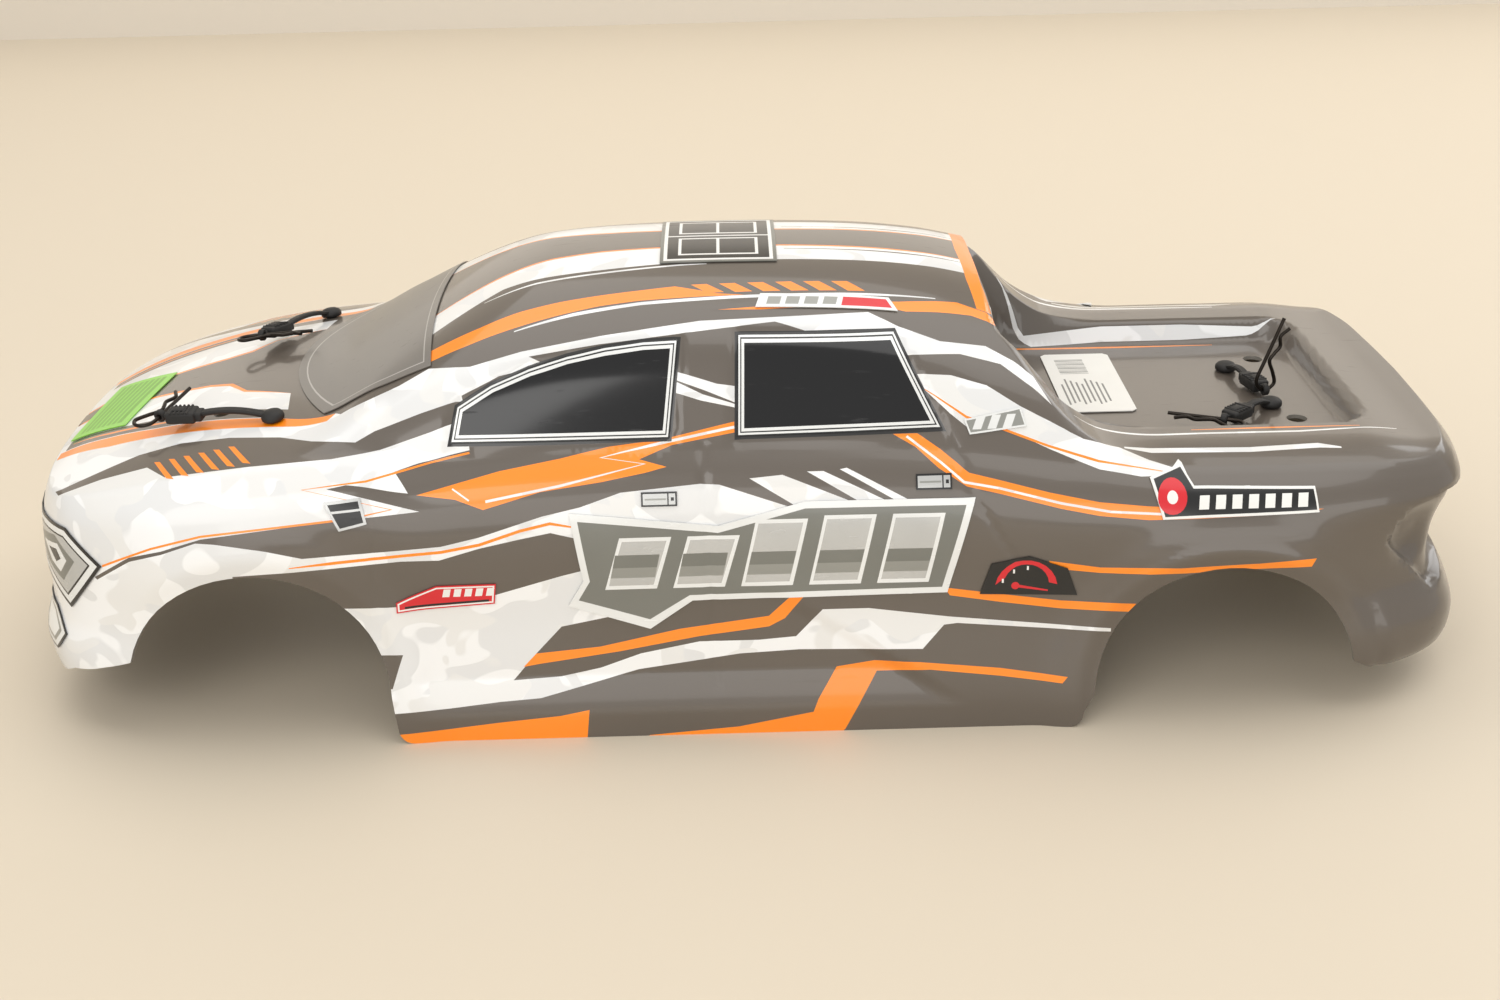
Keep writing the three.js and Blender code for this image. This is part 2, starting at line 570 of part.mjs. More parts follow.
// Tether groups: turned so their Z is the surface normal and their X is the heading.
const tetherParts = {
  front_left: { strap: FRONT_STRAP, lift: 0.4, eyeTurn: -0.14, held: "leg", way: -1 },
  front_right: { strap: FRONT_STRAP, lift: 0.4, eyeTurn: 0.35, held: "leg", way: 1 },
  rear_left: { strap: REAR_STRAP, lift: 1.4, eyeTurn: 0.45, held: "leg", way: -1 },
  rear_right: { strap: REAR_STRAP, lift: 0.8, eyeTurn: 0, held: "loop", way: 1 },
};
for (const [corner, { strap, lift, eyeTurn, held, way }] of Object.entries(tetherParts)) {
  const { at, heading } = anchors[corner];
  const angle = THREE.MathUtils.degToRad(heading);
  const x = new THREE.Vector3(Math.cos(angle), Math.sin(angle), 0);
  x.addScaledVector(at.up, -x.dot(at.up)).normalize();
  const y = at.up.clone().cross(x);
  const group = new THREE.Group();
  group.position.copy(at.point);
  group.setRotationFromMatrix(new THREE.Matrix4().makeBasis(x, y, at.up));
  truck.add(group);
  add(`clip_tether_${corner}`, tether(strap, lift, eyeTurn), rubber(), group);
  const holder = new THREE.Group();
  holder.position.set(eyeAfter(strap), 0, TETHER_FLOAT + lift + HOLDER_HEIGHT / 2);
  holder.rotation.set(0, 0, eyeTurn);
  group.add(holder);
  add(`body_clip_${corner}`, clip(held, way), wire(), holder);
}

truck.position.x = -FORM.middle * stretch.x;

export default truck;
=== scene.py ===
import json
import math

import bmesh
import bpy
import numpy as np
from mathutils import Matrix, Vector
from mathutils.bvhtree import BVHTree
from mathutils.geometry import delaunay_2d_cdt
from mathutils.kdtree import KDTree


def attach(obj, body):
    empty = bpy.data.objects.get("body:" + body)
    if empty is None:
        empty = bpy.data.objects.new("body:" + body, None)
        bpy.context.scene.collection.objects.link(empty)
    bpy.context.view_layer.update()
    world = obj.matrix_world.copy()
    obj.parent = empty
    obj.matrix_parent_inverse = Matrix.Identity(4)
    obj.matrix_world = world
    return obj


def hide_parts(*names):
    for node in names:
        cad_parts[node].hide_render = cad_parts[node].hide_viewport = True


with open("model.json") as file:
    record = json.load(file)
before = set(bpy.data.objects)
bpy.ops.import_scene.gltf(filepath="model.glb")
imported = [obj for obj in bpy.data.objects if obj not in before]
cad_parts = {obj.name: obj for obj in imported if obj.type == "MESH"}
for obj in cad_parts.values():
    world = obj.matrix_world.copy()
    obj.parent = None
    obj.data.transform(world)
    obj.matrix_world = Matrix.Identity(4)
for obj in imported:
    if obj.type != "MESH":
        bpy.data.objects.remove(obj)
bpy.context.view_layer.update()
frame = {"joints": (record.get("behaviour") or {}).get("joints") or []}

# ---- camera, floor and light ----
# A long look at the near side from a little above the roof, over a pale table top that runs
# back to a pale wall, under a big soft lamp overhead and a window behind the viewer.
def linked(name, data):
    """A new object with this data, linked to the scene."""
    made = bpy.data.objects.new(name, data)
    bpy.context.scene.collection.objects.link(made)
    return made


camera_data = bpy.data.cameras.new("camera")
camera_data.lens = 45.6
camera_data.sensor_width = 36.0
camera = linked("camera", camera_data)
camera.location = (-0.0025, -0.7299, 0.3758)
camera.rotation_euler = [math.radians(a) for a in (65.63, 1.21, -0.96)]
bpy.context.scene.camera = camera
bpy.context.scene.view_settings.view_transform = "Standard"


def linear(code):
    """The linear colour of a six-digit sRGB code."""
    parts = [int(code[i:i + 2], 16) / 255 for i in (0, 2, 4)]
    return [c / 12.92 if c <= 0.04045 else ((c + 0.055) / 1.055) ** 2.4 for c in parts] + [1.0]


def plain_stage(name, colour, corners):
    """A flat backdrop sheet through four corners."""
    mesh = bpy.data.meshes.new(name)
    mesh.from_pydata(corners, [], [(0, 1, 2, 3)])
    matt = bpy.data.materials.new(name)
    matt.use_nodes = True
    shader = matt.node_tree.nodes["Principled BSDF"]
    shader.inputs["Base Color"].default_value = linear(colour)
    shader.inputs["Roughness"].default_value = 0.55
    mesh.materials.append(matt)
    linked(name, mesh)


FLOOR_REACH = 6.0
WALL_BACK = 1.35
WALL_TOP = 4
back_edge = [(FLOOR_REACH, WALL_BACK, 0), (-FLOOR_REACH, WALL_BACK, 0)]
plain_stage("table_top", "d9cdb9", [(-FLOOR_REACH, -FLOOR_REACH, 0), (FLOOR_REACH, -FLOOR_REACH, 0),
                                    *back_edge])
plain_stage("back_wall", "ded6c9", [*back_edge[::-1], (FLOOR_REACH, WALL_BACK, WALL_TOP),
                                    (-FLOOR_REACH, WALL_BACK, WALL_TOP)])


DAYLIGHT = (1.0, 0.985, 0.965)


def soft_lamp(name, place, aim, size, power, colour=DAYLIGHT):
    """A rectangular area lamp at a place, pointed at a second point."""
    data = bpy.data.lights.new(name, "AREA")
    data.shape = "RECTANGLE"
    data.size, data.size_y = size
    data.energy = power
    data.color = colour
    lamp = linked(name, data)
    lamp.location = place
    lamp.rotation_euler = (Vector(aim) - Vector(place)).to_track_quat("-Z", "Y").to_euler()


soft_lamp("overhead", (0.1, 0.2, 1.5), (0, 0, 0), (2.2, 1.4), 13, (1.0, 0.99, 0.975))
soft_lamp("window", (-0.9, -1.7, 1.3), (0, 0, 0.05), (1.3, 1.1), 11)
soft_lamp("low_front", (0.3, -2.0, 0.5), (0, 0, 0.05), (2.6, 0.7), 9)
soft_lamp("low_back", (0, 1.2, 0.45), (0, 0, 0.02), (2.6, 0.5), 1.6)
soft_lamp("far_fill", (1.4, 0.9, 0.9), (0.1, 0, 0.05), (0.8, 0.8), 5, (0.95, 0.97, 1.0))
world = bpy.data.worlds.new("room")
world.use_nodes = True
room_light = world.node_tree.nodes["Background"].inputs
room_light["Color"].default_value = (*DAYLIGHT, 1)
room_light["Strength"].default_value = 0.7
bpy.context.scene.world = world

# ---- the body's form ----
# A crew-cab pickup body drawn from polycarbonate sheet over a mould. The form is a skin over
# stations round the shoulder and heights up the wall and over the roof, in millimetres, with
# its nose towards -X; the far side is the near side mirrored. MIDDLE moves it to the frame.
MIDDLE = 2.0
WALL = 1.6


def ease(a, b, v):
    t = np.clip((v - a) / (b - a), 0, 1)
    return t * t * (3 - 2 * t)


def mix(a, b, t):
    return a + (b - a) * t


def soft_max(a, b, r):
    return np.maximum(a, b) + np.maximum(r - np.abs(a - b), 0) ** 2 / (4 * r)


def soft_min(a, b, r):
    return -soft_max(-a, -b, r)


def profile(points):
    """A smooth line through a few points, with each point's slope taken from its neighbours."""
    xs, vs = np.array(points, float).T
    before, after = np.maximum(np.arange(len(xs)) - 1, 0), np.minimum(np.arange(len(xs)) + 1, len(xs) - 1)
    slopes = (vs[after] - vs[before]) / (xs[after] - xs[before])

    def read(x):
        x = np.clip(x, xs[0], xs[-1])
        i = np.clip(np.searchsorted(xs, x) - 1, 0, len(xs) - 2)
        h = xs[i + 1] - xs[i]
        t = (x - xs[i]) / h
        a, b, rise = slopes[i], slopes[i + 1], vs[i + 1] - vs[i]
        return vs[i] + t * (h * a + t * (3 * rise - h * (2 * a + b) + t * (h * (a + b) - 2 * rise)))
    return read


def centripetal(points, steps=160):
    """A centripetal Catmull-Rom curve through plan points, as many short steps."""
    p = np.array(points, float)
    p = np.vstack([2 * p[0] - p[1], p, 2 * p[-1] - p[-2]])
    line = []
    for a, b, c, d in zip(p, p[1:], p[2:], p[3:]):
        k0, k1, k2 = [math.sqrt(np.linalg.norm(v)) for v in (b - a, c - b, d - c)]
        start = ((b - a) / k0 - (c - a) / (k0 + k1) + (c - b) / k1) * k1
        end = ((c - b) / k1 - (d - b) / (k1 + k2) + (d - c) / k2) * k1
        t = np.linspace(0, 1, steps, endpoint=False)[:, None]
        line.append(b + t * (start + t * (3 * (c - b) - 2 * start - end
                                          + t * (start + end - 2 * (c - b)))))
    return np.vstack([*line, p[-2:-1]])


shoulder_line = centripetal([(-269, 0), (-268, 30), (-265.5, 52), (-260, 70), (-247, 84), (-224, 91),
    (-190, 93.5), (-150, 92.5), (-100, 90), (-40, 88.5), (20, 88.5), (75, 89.5), (120, 92), (165, 93.5),
    (210, 93.5), (242, 92), (260, 84), (267.5, 64), (270, 34), (271, 0)])
shoulder_run = np.concatenate([[0], np.cumsum(np.linalg.norm(np.diff(shoulder_line, axis=0), axis=1))])
SHOULDER_LENGTH = shoulder_run[-1]
shoulder_slope = np.gradient(shoulder_line, shoulder_run, axis=0)
shoulder_slope /= np.linalg.norm(shoulder_slope, axis=1)[:, None]

hood_line = profile([(-280, 82), (-268, 89.5), (-252, 97), (-230, 104), (-200, 110.5), (-170, 114),
    (-140, 115), (-100, 108), (100, 104)])
roof_line = profile([(-130, 144), (-103, 151.5), (-75, 157), (-45, 159.5), (0, 160), (45, 158.7),
    (75, 155.5), (96, 151), (120, 146)])
sail_line = profile([(80, 156), (94, 148), (103, 136), (112, 124), (122, 112.5), (134, 104), (150, 98),
    (176, 90)])
TUB = {"front": 101, "back": 243, "half_width": 61, "corner": 16, "floor": 90, "wall": 5.5}


def top_height(x, y):
    """Height of the hood, cab, rail or bed over a plan point, y from the middle."""
    hood = hood_line(x) - 8.5 * (y / 92) ** 2.6
    rail = 99.5 - 4 * np.clip((y - 72) / 20, 0, 1) ** 2 - 2.5 * ease(235, 262, x)
    dx = np.maximum(TUB["front"] - x, x - TUB["back"]) + TUB["corner"]
    dy = y - TUB["half_width"] + TUB["corner"]
    out = np.hypot(np.maximum(dx, 0), np.maximum(dy, 0)) + np.minimum(np.maximum(dx, dy), 0)
    bed = mix(rail, TUB["floor"], ease(1, -TUB["wall"], out - TUB["corner"]))
    deck = mix(hood, bed, ease(60, 100, x))
    screen = 113 + 0.55 * (x + 165) - 5.5 * (y / 62) ** 2
    roof = roof_line(x) - 13.5 * (y / 60) ** 2.6
    glass = 108 + 2 * (88.5 - y)
    back = mix(150 - 5 * (x - 96), sail_line(x), ease(50, 62, y))
    cab = soft_min(soft_min(soft_min(screen, roof, 8), glass, 9), back, 5)
    return soft_max(cab, deck, 5)


nose_out = profile([(0, -4), (0.13, 1), (0.2, 7.5), (0.28, 9), (0.37, 8.5), (0.47, 5.5), (0.7, 4.6),
    (0.88, 3.4), (0.96, 1.6), (1, 0)])
tail_out = profile([(0, -3), (0.12, 2), (0.2, 9), (0.32, 11), (0.42, 7.5), (0.5, 3.5), (0.6, 2.6),
    (0.74, 5.5), (0.86, 8), (0.94, 5), (1, 0)])
side_out = profile([(0, 24.5), (0.12, 24), (0.28, 21), (0.42, 18.2), (0.55, 16.6), (0.7, 15.4),
    (0.82, 13), (0.92, 8.5), (1, 0)])
SILL_SHOULDER = 88.5
FRONT_ARCH = {"x": -181, "z": 19, "r": 49.5, "flare": 2, "groove": 0.7, "lean": 1.5}
REAR_ARCH = {"x": 181, "z": 12.5, "r": 49.5, "flare": 3.5, "groove": 1.4, "lean": 4}
SILL_CORNER = 6
SPINE_END = 236


def off_arch(arch, x, z):
    """Distance outside the round edge of a wheel arch."""
    return np.hypot(x - arch["x"], z - arch["z"]) - arch["r"]


def wall_out(x, y, share, z):
    """How far the wall stands outside the shoulder at a share of the shoulder's height."""
    front, rear = ease(-205, -262, x), ease(200, 262, x)
    out = side_out(share) + (SILL_SHOULDER - y) * ease(0.85, 0.3, share)
    out = mix(mix(out, nose_out(share), front), tail_out(share), rear)
    lamp = np.hypot((x - 252) / 14, (z - 66) / 15)
    out = out - 4.5 * ease(1, 0.2, lamp) * ease(40, 70, y)
    for arch in (FRONT_ARCH, REAR_ARCH):
        flare = arch["flare"] * np.exp(-((off_arch(arch, x, z) - 9) / 7) ** 2)
        out = out + flare * (1 - front) * (1 - rear)
    return out


def form(u, t):
    """The plain form: u runs nose to tail, t is 0 at the table, 1 at the shoulder, 2 at the middle."""
    run = u * SHOULDER_LENGTH
    x, y = [np.interp(run, shoulder_run, shoulder_line[:, k]) for k in (0, 1)]
    sx, sy = [np.interp(run, shoulder_run, shoulder_slope[:, k]) for k in (0, 1)]
    middle = (u <= 0) | (u >= 1)
    nx, ny = np.where(middle, np.sign(x), -sy), np.where(middle, 0, sx)
    share, over = np.clip(t, 0, 1), np.clip(t - 1, 0, 1)
    shoulder = top_height(x, y)
    out = np.where(t >= 1, 0, wall_out(x, y, share, share * shoulder))
    spread = np.clip((x + SPINE_END) / (shoulder_line[0, 0] + SPINE_END), 0, None)
    behind = np.clip((x - SPINE_END) / (shoulder_line[-1, 0] - SPINE_END), 0, None)
    spine = np.where(spread > 0, -SPINE_END - 22 * spread ** 2, x)
    spine = np.where(behind > 0, SPINE_END + 22 * behind ** 2, spine)
    px = np.where(t > 1, mix(x, spine, over), x + nx * out)
    py = np.where(t > 1, mix(y, 0, over), y + ny * out)
    pz = np.where(t > 1, top_height(px, py), share * shoulder)
    return np.stack([px, -py, pz], -1)


WINDOW_FRONT = [(-105, 110), (-25, 110), (-21, 141), (-34, 140.6), (-48, 139.2), (-62, 136.8),
    (-76, 133.2), (-90, 128.2), (-102.5, 121.5)]
WINDOW_REAR = [(0, 110), (75, 111), (59, 141), (1, 142)]
DOOR_SEAMS = [[(-134, 93), (-134, 60), (-131, 20)], [(-13, 108), (-12, 92), (-10, 20)],
              [(79, 108), (85, 92), (101, 66)]]


def off_line(x, z, line):
    """Distance from an open line."""
    best = np.full(x.shape, 1e9)
    for (ax, az), (bx, bz) in zip(line, line[1:]):
        k = np.clip(((x - ax) * (bx - ax) + (z - az) * (bz - az)) / ((bx - ax) ** 2 + (bz - az) ** 2), 0, 1)
        best = np.minimum(best, np.hypot(x - ax - k * (bx - ax), z - az - k * (bz - az)))
    return best


def crossings(x, z, outline):
    """Whether each point lies inside a closed outline, by counting the edges that it passes."""
    odd = np.zeros(x.shape, bool)
    for (ax, az), (bx, bz) in zip(outline, np.roll(outline, -1, axis=0)):
        if az != bz:
            odd ^= ((az > z) != (bz > z)) & (x < (bx - ax) * (z - az) / (bz - az) + ax)
    return odd


def inside_by(x, z, outline):
    """How far each point lies inside a closed outline, negative outside."""
    p = np.array(outline, float)
    away = off_line(x, z, [*p, p[0]])
    return np.where(crossings(x, z, p), away, -away)


TAIL_POCKET = [(239, 66), (247, 80), (262, 84), (285, 84), (285, 52), (262, 42)]
POCKET_DEPTH, POCKET_SLOPE = 3.4, 2.6
GROOVE_OUT, GROOVE_WIDTH = 11, 4.2
GLASS_DEPTH = 1.1
SEAM_DEPTH, SEAM_WIDTH = 0.4, 1.5
LEDGE = {"foot": 9.5, "top": 22, "step": 24.5, "gone": 62, "depth": 2.6, "front": -128, "rear": 58}


def relief(p):
    """Moulded detail as a distance off the plain form: sunk side glass, soft door seams, a groove
    round each arch, the ledge over the sill and a sunk pocket at the tail's corner."""
    x, y, z = p[..., 0], -p[..., 1], p[..., 2]
    side = ease(56, 64, y)
    depth = np.zeros(x.shape)
    for arch in (FRONT_ARCH, REAR_ARCH):
        round_arch = np.exp(-((off_arch(arch, x, z) - GROOVE_OUT) / GROOVE_WIDTH) ** 2)
        depth -= arch["groove"] * round_arch * side * ease(250, 236, np.abs(x))
    rise = np.interp(z, [LEDGE["foot"], LEDGE["top"], LEDGE["step"], LEDGE["gone"]], [0, -0.8, -1, 0])
    slant = x - LEDGE["rear"] - 1.55 * (LEDGE["step"] - z)
    ends = ease(LEDGE["front"], LEDGE["front"] + 14, x) * ease(8, -4, slant)
    depth += LEDGE["depth"] * rise * side * ends
    depth -= POCKET_DEPTH * np.clip(inside_by(x, z, TAIL_POCKET) / POCKET_SLOPE, 0, 1) * ease(50, 62, y)
    for window in (WINDOW_FRONT, WINDOW_REAR):
        depth -= GLASS_DEPTH * ease(-3.6, -0.8, inside_by(x, z, window)) * side
    for seam in DOOR_SEAMS:
        depth -= SEAM_DEPTH * np.exp(-(off_line(x, z, seam) / SEAM_WIDTH) ** 2) * side
    return depth


STEP_U, STEP_T = 0.0012, 0.006


def directions(shape, u, t):
    """Unit outward directions of a surface function, by small differences."""
    u, t = np.asarray(u, float), np.asarray(t, float)
    along = shape(np.clip(u + STEP_U, 0, 1), t) - shape(np.clip(u - STEP_U, 0, 1), t)
    up = shape(u, np.clip(t + STEP_T, 0, 2)) - shape(u, np.clip(t - STEP_T, 0, 2))
    n = np.cross(along, up)
    middle = np.abs(shape(u, t)[..., 1]) < 1e-6
    n[middle, 1] = 0
    n[np.linalg.norm(n, axis=-1) < 1e-6] = (0, 0, 1)
    return n / np.linalg.norm(n, axis=-1)[..., None]


def skin(u, t):
    """The finished outer skin of the near side, in drawn millimetres."""
    p = form(np.asarray(u, float), np.asarray(t, float))
    d = relief(p)
    n = directions(form, u, t)
    return p + n * d[..., None]


# ---- stencils: flat outlines laid on the skin ----
# The paint masks and stickers are drawn flat and pressed on square to one of five planes.
# The side livery's plane leans back so that one mask covers the wall and the rail above it.
STENCIL_LEAN = math.radians(24.4)
PLANES = {
    "side": ((1, 0, 0), (0, 0, 1), (0, 1, 0)),
    "lean": ((1, 0, 0), (0, math.sin(STENCIL_LEAN), math.cos(STENCIL_LEAN)),
             (0, math.cos(STENCIL_LEAN), -math.sin(STENCIL_LEAN))),
    "plan": ((1, 0, 0), (0, -1, 0), (0, 0, -1)),
    "nose": ((0, -1, 0), (0, 0, 1), (1, 0, 0)),
    "tail": ((0, -1, 0), (0, 0, 1), (-1, 0, 0)),
}
GRID_U, GRID_T = 260, (50, 36)
grid_u = np.linspace(0, 1, GRID_U + 1)
grid_t = np.concatenate([np.linspace(0, 1, GRID_T[0] + 1), np.linspace(1, 2, GRID_T[1] + 1)[1:]])
mesh_u, mesh_t = [a.ravel() for a in np.meshgrid(grid_u, grid_t, indexing="ij")]
skin_points = skin(mesh_u, mesh_t)
rows = len(grid_t)
corner = (np.arange(GRID_U)[:, None] * rows + np.arange(rows - 1)[None]).ravel()
skin_faces = np.concatenate([np.stack([corner, corner + rows, corner + rows + 1], 1),
                             np.stack([corner, corner + rows + 1, corner + 1], 1)])
# Short tucks past the middle line and below the table catch the part of an outline that
# runs off the half skin, and bring it back to the skin's own edge.
TUCK = 40.0
edge_rows = np.arange(GRID_U + 1) * rows
tucks = [(edge_rows + rows - 1, (0, TUCK, 0)), (edge_rows[::-1], (0, 0, -TUCK)),
         (np.arange(rows)[::-1], (0, TUCK, 0)), (np.arange(rows) + GRID_U * rows, (0, TUCK, 0))]
cast_points, cast_faces, cast_u, cast_t = [skin_points], [skin_faces], [mesh_u], [mesh_t]
for line, way in tucks:
    start = sum(len(p) for p in cast_points)
    n = len(line)
    cast_points.append(skin_points[line] + way)
    cast_u.append(mesh_u[line])
    cast_t.append(mesh_t[line])
    k = np.arange(n - 1)
    cast_faces.append(np.stack([line[:-1], line[1:], start + k + 1], 1))
    cast_faces.append(np.stack([line[:-1], start + k + 1, start + k], 1))
cast_points, cast_faces = np.vstack(cast_points), np.vstack(cast_faces)
cast_u, cast_t = np.concatenate(cast_u), np.concatenate(cast_t)
skin_tree = BVHTree.FromPolygons(cast_points.tolist(), cast_faces.tolist())
nearest = {}
CAST_FROM = 700


def walk(outline, closed=True, step=2.5):
    """The outline's own corners with short steps between them."""
    p = np.array(outline, float)
    ends = np.roll(p, -1, axis=0) if closed else p[1:]
    line = []
    for a, b in zip(p, ends):
        n = max(1, int(np.linalg.norm(b - a) / step))
        line += [a + (b - a) * k / n for k in range(n)]
    return np.array(line if closed else [*line, p[-1]])


def press(outline, plane, closed=True):
    """Where a flat outline lands on the near side, as (u, t) pairs."""
    ex, ey, d = [np.array(v, float) for v in PLANES[plane]]
    if plane not in nearest:
        tree = KDTree(len(skin_points))
        for k, p in enumerate(skin_points):
            tree.insert((p @ ex, p @ ey, 0), k)
        tree.balance()
        nearest[plane] = tree
    found = []
    for a, b in walk(outline, closed):
        hit, _, face, _ = skin_tree.ray_cast(Vector(a * ex + b * ey - CAST_FROM * d), Vector(d))
        if hit is None:
            k = nearest[plane].find((a, b, 0))[1]
            found.append((mesh_u[k], mesh_t[k]))
            continue
        ids = cast_faces[face]
        p0, p1, p2 = cast_points[ids]
        m = np.stack([p1 - p0, p2 - p0], 1)
        w = np.linalg.lstsq(m, np.array(hit) - p0, rcond=None)[0]
        w = np.array([1 - w.sum(), *w])
        found.append((float(w @ cast_u[ids]), float(w @ cast_t[ids])))
    return np.clip(np.array(found), 0, (1, 2))


ACROSS = 96.0


def holds(outline, points):
    """Which points lie inside a closed outline; only those in its box are tested."""
    inside = np.zeros(len(points), bool)
    close = np.where(((points >= outline.min(0)) & (points <= outline.max(0))).all(1))[0]
    inside[close] = crossings(*points[close].T, outline)
    return inside


SKIN_SCALE = (SHOULDER_LENGTH, ACROSS)
CLOSEST, SNAP, SLIVER = 0.15, 0.02, 1e-5


def cut_sheet(base, outlines, scale=SKIN_SCALE):
    """Triangles of a flat sheet of points, (u, t) or plan, with outlines cut into it.
    Returns the points, the triangles and, for each outline, which triangles it holds."""
    scale = np.array(scale)
    points = [Vector(p) for p in np.asarray(base) * scale]
    edges = []
    for line in outlines:
        ring = []
        for p in line * scale:
            if not ring or (points[ring[-1]] - Vector(p)).length > CLOSEST:
                points.append(Vector(p))
                ring.append(len(points) - 1)
        edges += list(zip(ring, ring[1:] + ring[:1]))
    out = delaunay_2d_cdt(points, edges, [], 0, SNAP, False)
    flat = np.array([tuple(p) for p in out[0]])
    faces = np.array(out[2])
    a, b, c = flat[faces[:, 0]], flat[faces[:, 1]], flat[faces[:, 2]]
    area = np.cross(b - a, c - a)
    faces[area < 0] = faces[area < 0][:, ::-1]
    faces = faces[np.abs(area) > SLIVER]
    flat = flat / scale
    middles = flat[faces].mean(1)
    return flat, faces, [holds(line, middles) for line in outlines]


def to_frame(p):
    """Drawn millimetres to the frame's metres."""
    return (np.asarray(p) - (MIDDLE, 0, 0)) * 0.001


def build_piece(name, points, faces, slots, finishes, normals=None):
    """A mesh object from arrays, with smooth faces and given corner directions."""
    mesh = bpy.data.meshes.new(name)
    mesh.from_pydata(points.tolist(), [], faces.tolist())
    for finish in finishes:
        mesh.materials.append(finish)
    mesh.polygons.foreach_set("material_index", np.asarray(slots, np.int32))
    mesh.polygons.foreach_set("use_smooth", np.ones(len(faces), bool))
    if normals is not None:
        mesh.normals_split_custom_set(normals.reshape(-1, 3).tolist())
    mesh.update()
    return linked(name, mesh)


def claim(piece, part, body):
    """The piece stands for a part, which it hides, and moves with a body."""
    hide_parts(part)
    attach(piece, body)


def rim_edges(faces):
    """Directed edges that belong to one triangle only."""
    edges = {}
    for a, b, c in faces.tolist():
        for e in ((a, b), (b, c), (c, a)):
            if (e[1], e[0]) in edges:
                del edges[(e[1], e[0])]
            else:
                edges[e] = True
    return list(edges)


def closed_sheet(outer, inner, way, faces, slots, back_slot):
    """A thin closed sheet from its two skins: points, faces, slots and corner directions."""
    count = len(outer)
    rim = np.array(rim_edges(faces))
    rim_faces = np.vstack([np.stack([rim[:, 1], rim[:, 0], rim[:, 0] + count], 1),
                           np.stack([rim[:, 1], rim[:, 0] + count, rim[:, 1] + count], 1)])
    points = np.vstack([outer, inner])
    a, b, c = [points[rim_faces[:, k]] for k in range(3)]
    edge_way = np.cross(b - a, c - a)
    edge_way /= np.maximum(np.linalg.norm(edge_way, axis=1), 1e-9)[:, None]
    back = faces[:, ::-1]
    turned = np.concatenate([way[faces], -way[back], np.repeat(edge_way[:, None], 3, axis=1)])
    all_faces = np.vstack([faces, back + count, rim_faces])
    all_slots = np.concatenate([slots, np.full(len(back) + len(rim_faces), back_slot)])
    used = np.unique(all_faces)
    number = np.zeros(len(points), int)
    number[used] = np.arange(len(used))
    return points[used], number[all_faces], all_slots, turned


MIRROR = np.array((1, -1, 1))


def both_halves(outer, inner, way, near, far):
    """Joins the near half to its mirror along the middle line. near and far are each a pair of
    faces and slots numbered on the near half."""
    middle = np.abs(outer[:, 1]) < 1e-6
    inner[middle, 1] = 0
    number = np.where(middle, np.arange(len(outer)), np.arange(len(outer)) + len(outer))
    return (np.vstack([outer, outer * MIRROR]), np.vstack([inner, inner * MIRROR]),
            np.vstack([way, way * MIRROR]),
            np.vstack([near[0], number[far[0]][:, ::-1]]), np.concatenate([near[1], far[1]]))


# ---- finishes shared by the shell and its stickers ----
# Colours are sprayed inside the clear sheet, so each has the same clear face over it: a broad
# sheen, faint orange peel, and fine scuffs from handling.
def new_tree(name, inputs, outputs, kind="ShaderNodeTree"):
    """A node tree with its named sockets: the tree, its input node and its output node."""
    tree = bpy.data.node_groups.new(name, kind)
    for label, (value_kind, *value) in inputs.items():
        socket = tree.interface.new_socket(label, in_out="INPUT", socket_type="NodeSocket" + value_kind)
        if value:
            socket.default_value = value[0]
    for label, value_kind in outputs.items():
        tree.interface.new_socket(label, in_out="OUTPUT", socket_type="NodeSocket" + value_kind)
    return tree, tree.nodes.new("NodeGroupInput"), tree.nodes.new("NodeGroupOutput")


def node(tree, kind, values=(), **settings):
    """A node with its settings, and its inputs set or linked by name or number."""
    made = tree.nodes.new(kind)
    for key, value in settings.items():
        setattr(made, key, value)
    for key, value in dict(values).items():
        if isinstance(value, bpy.types.NodeSocket):
            tree.links.new(value, made.inputs[key])
        else:
            made.inputs[key].default_value = value
    return made


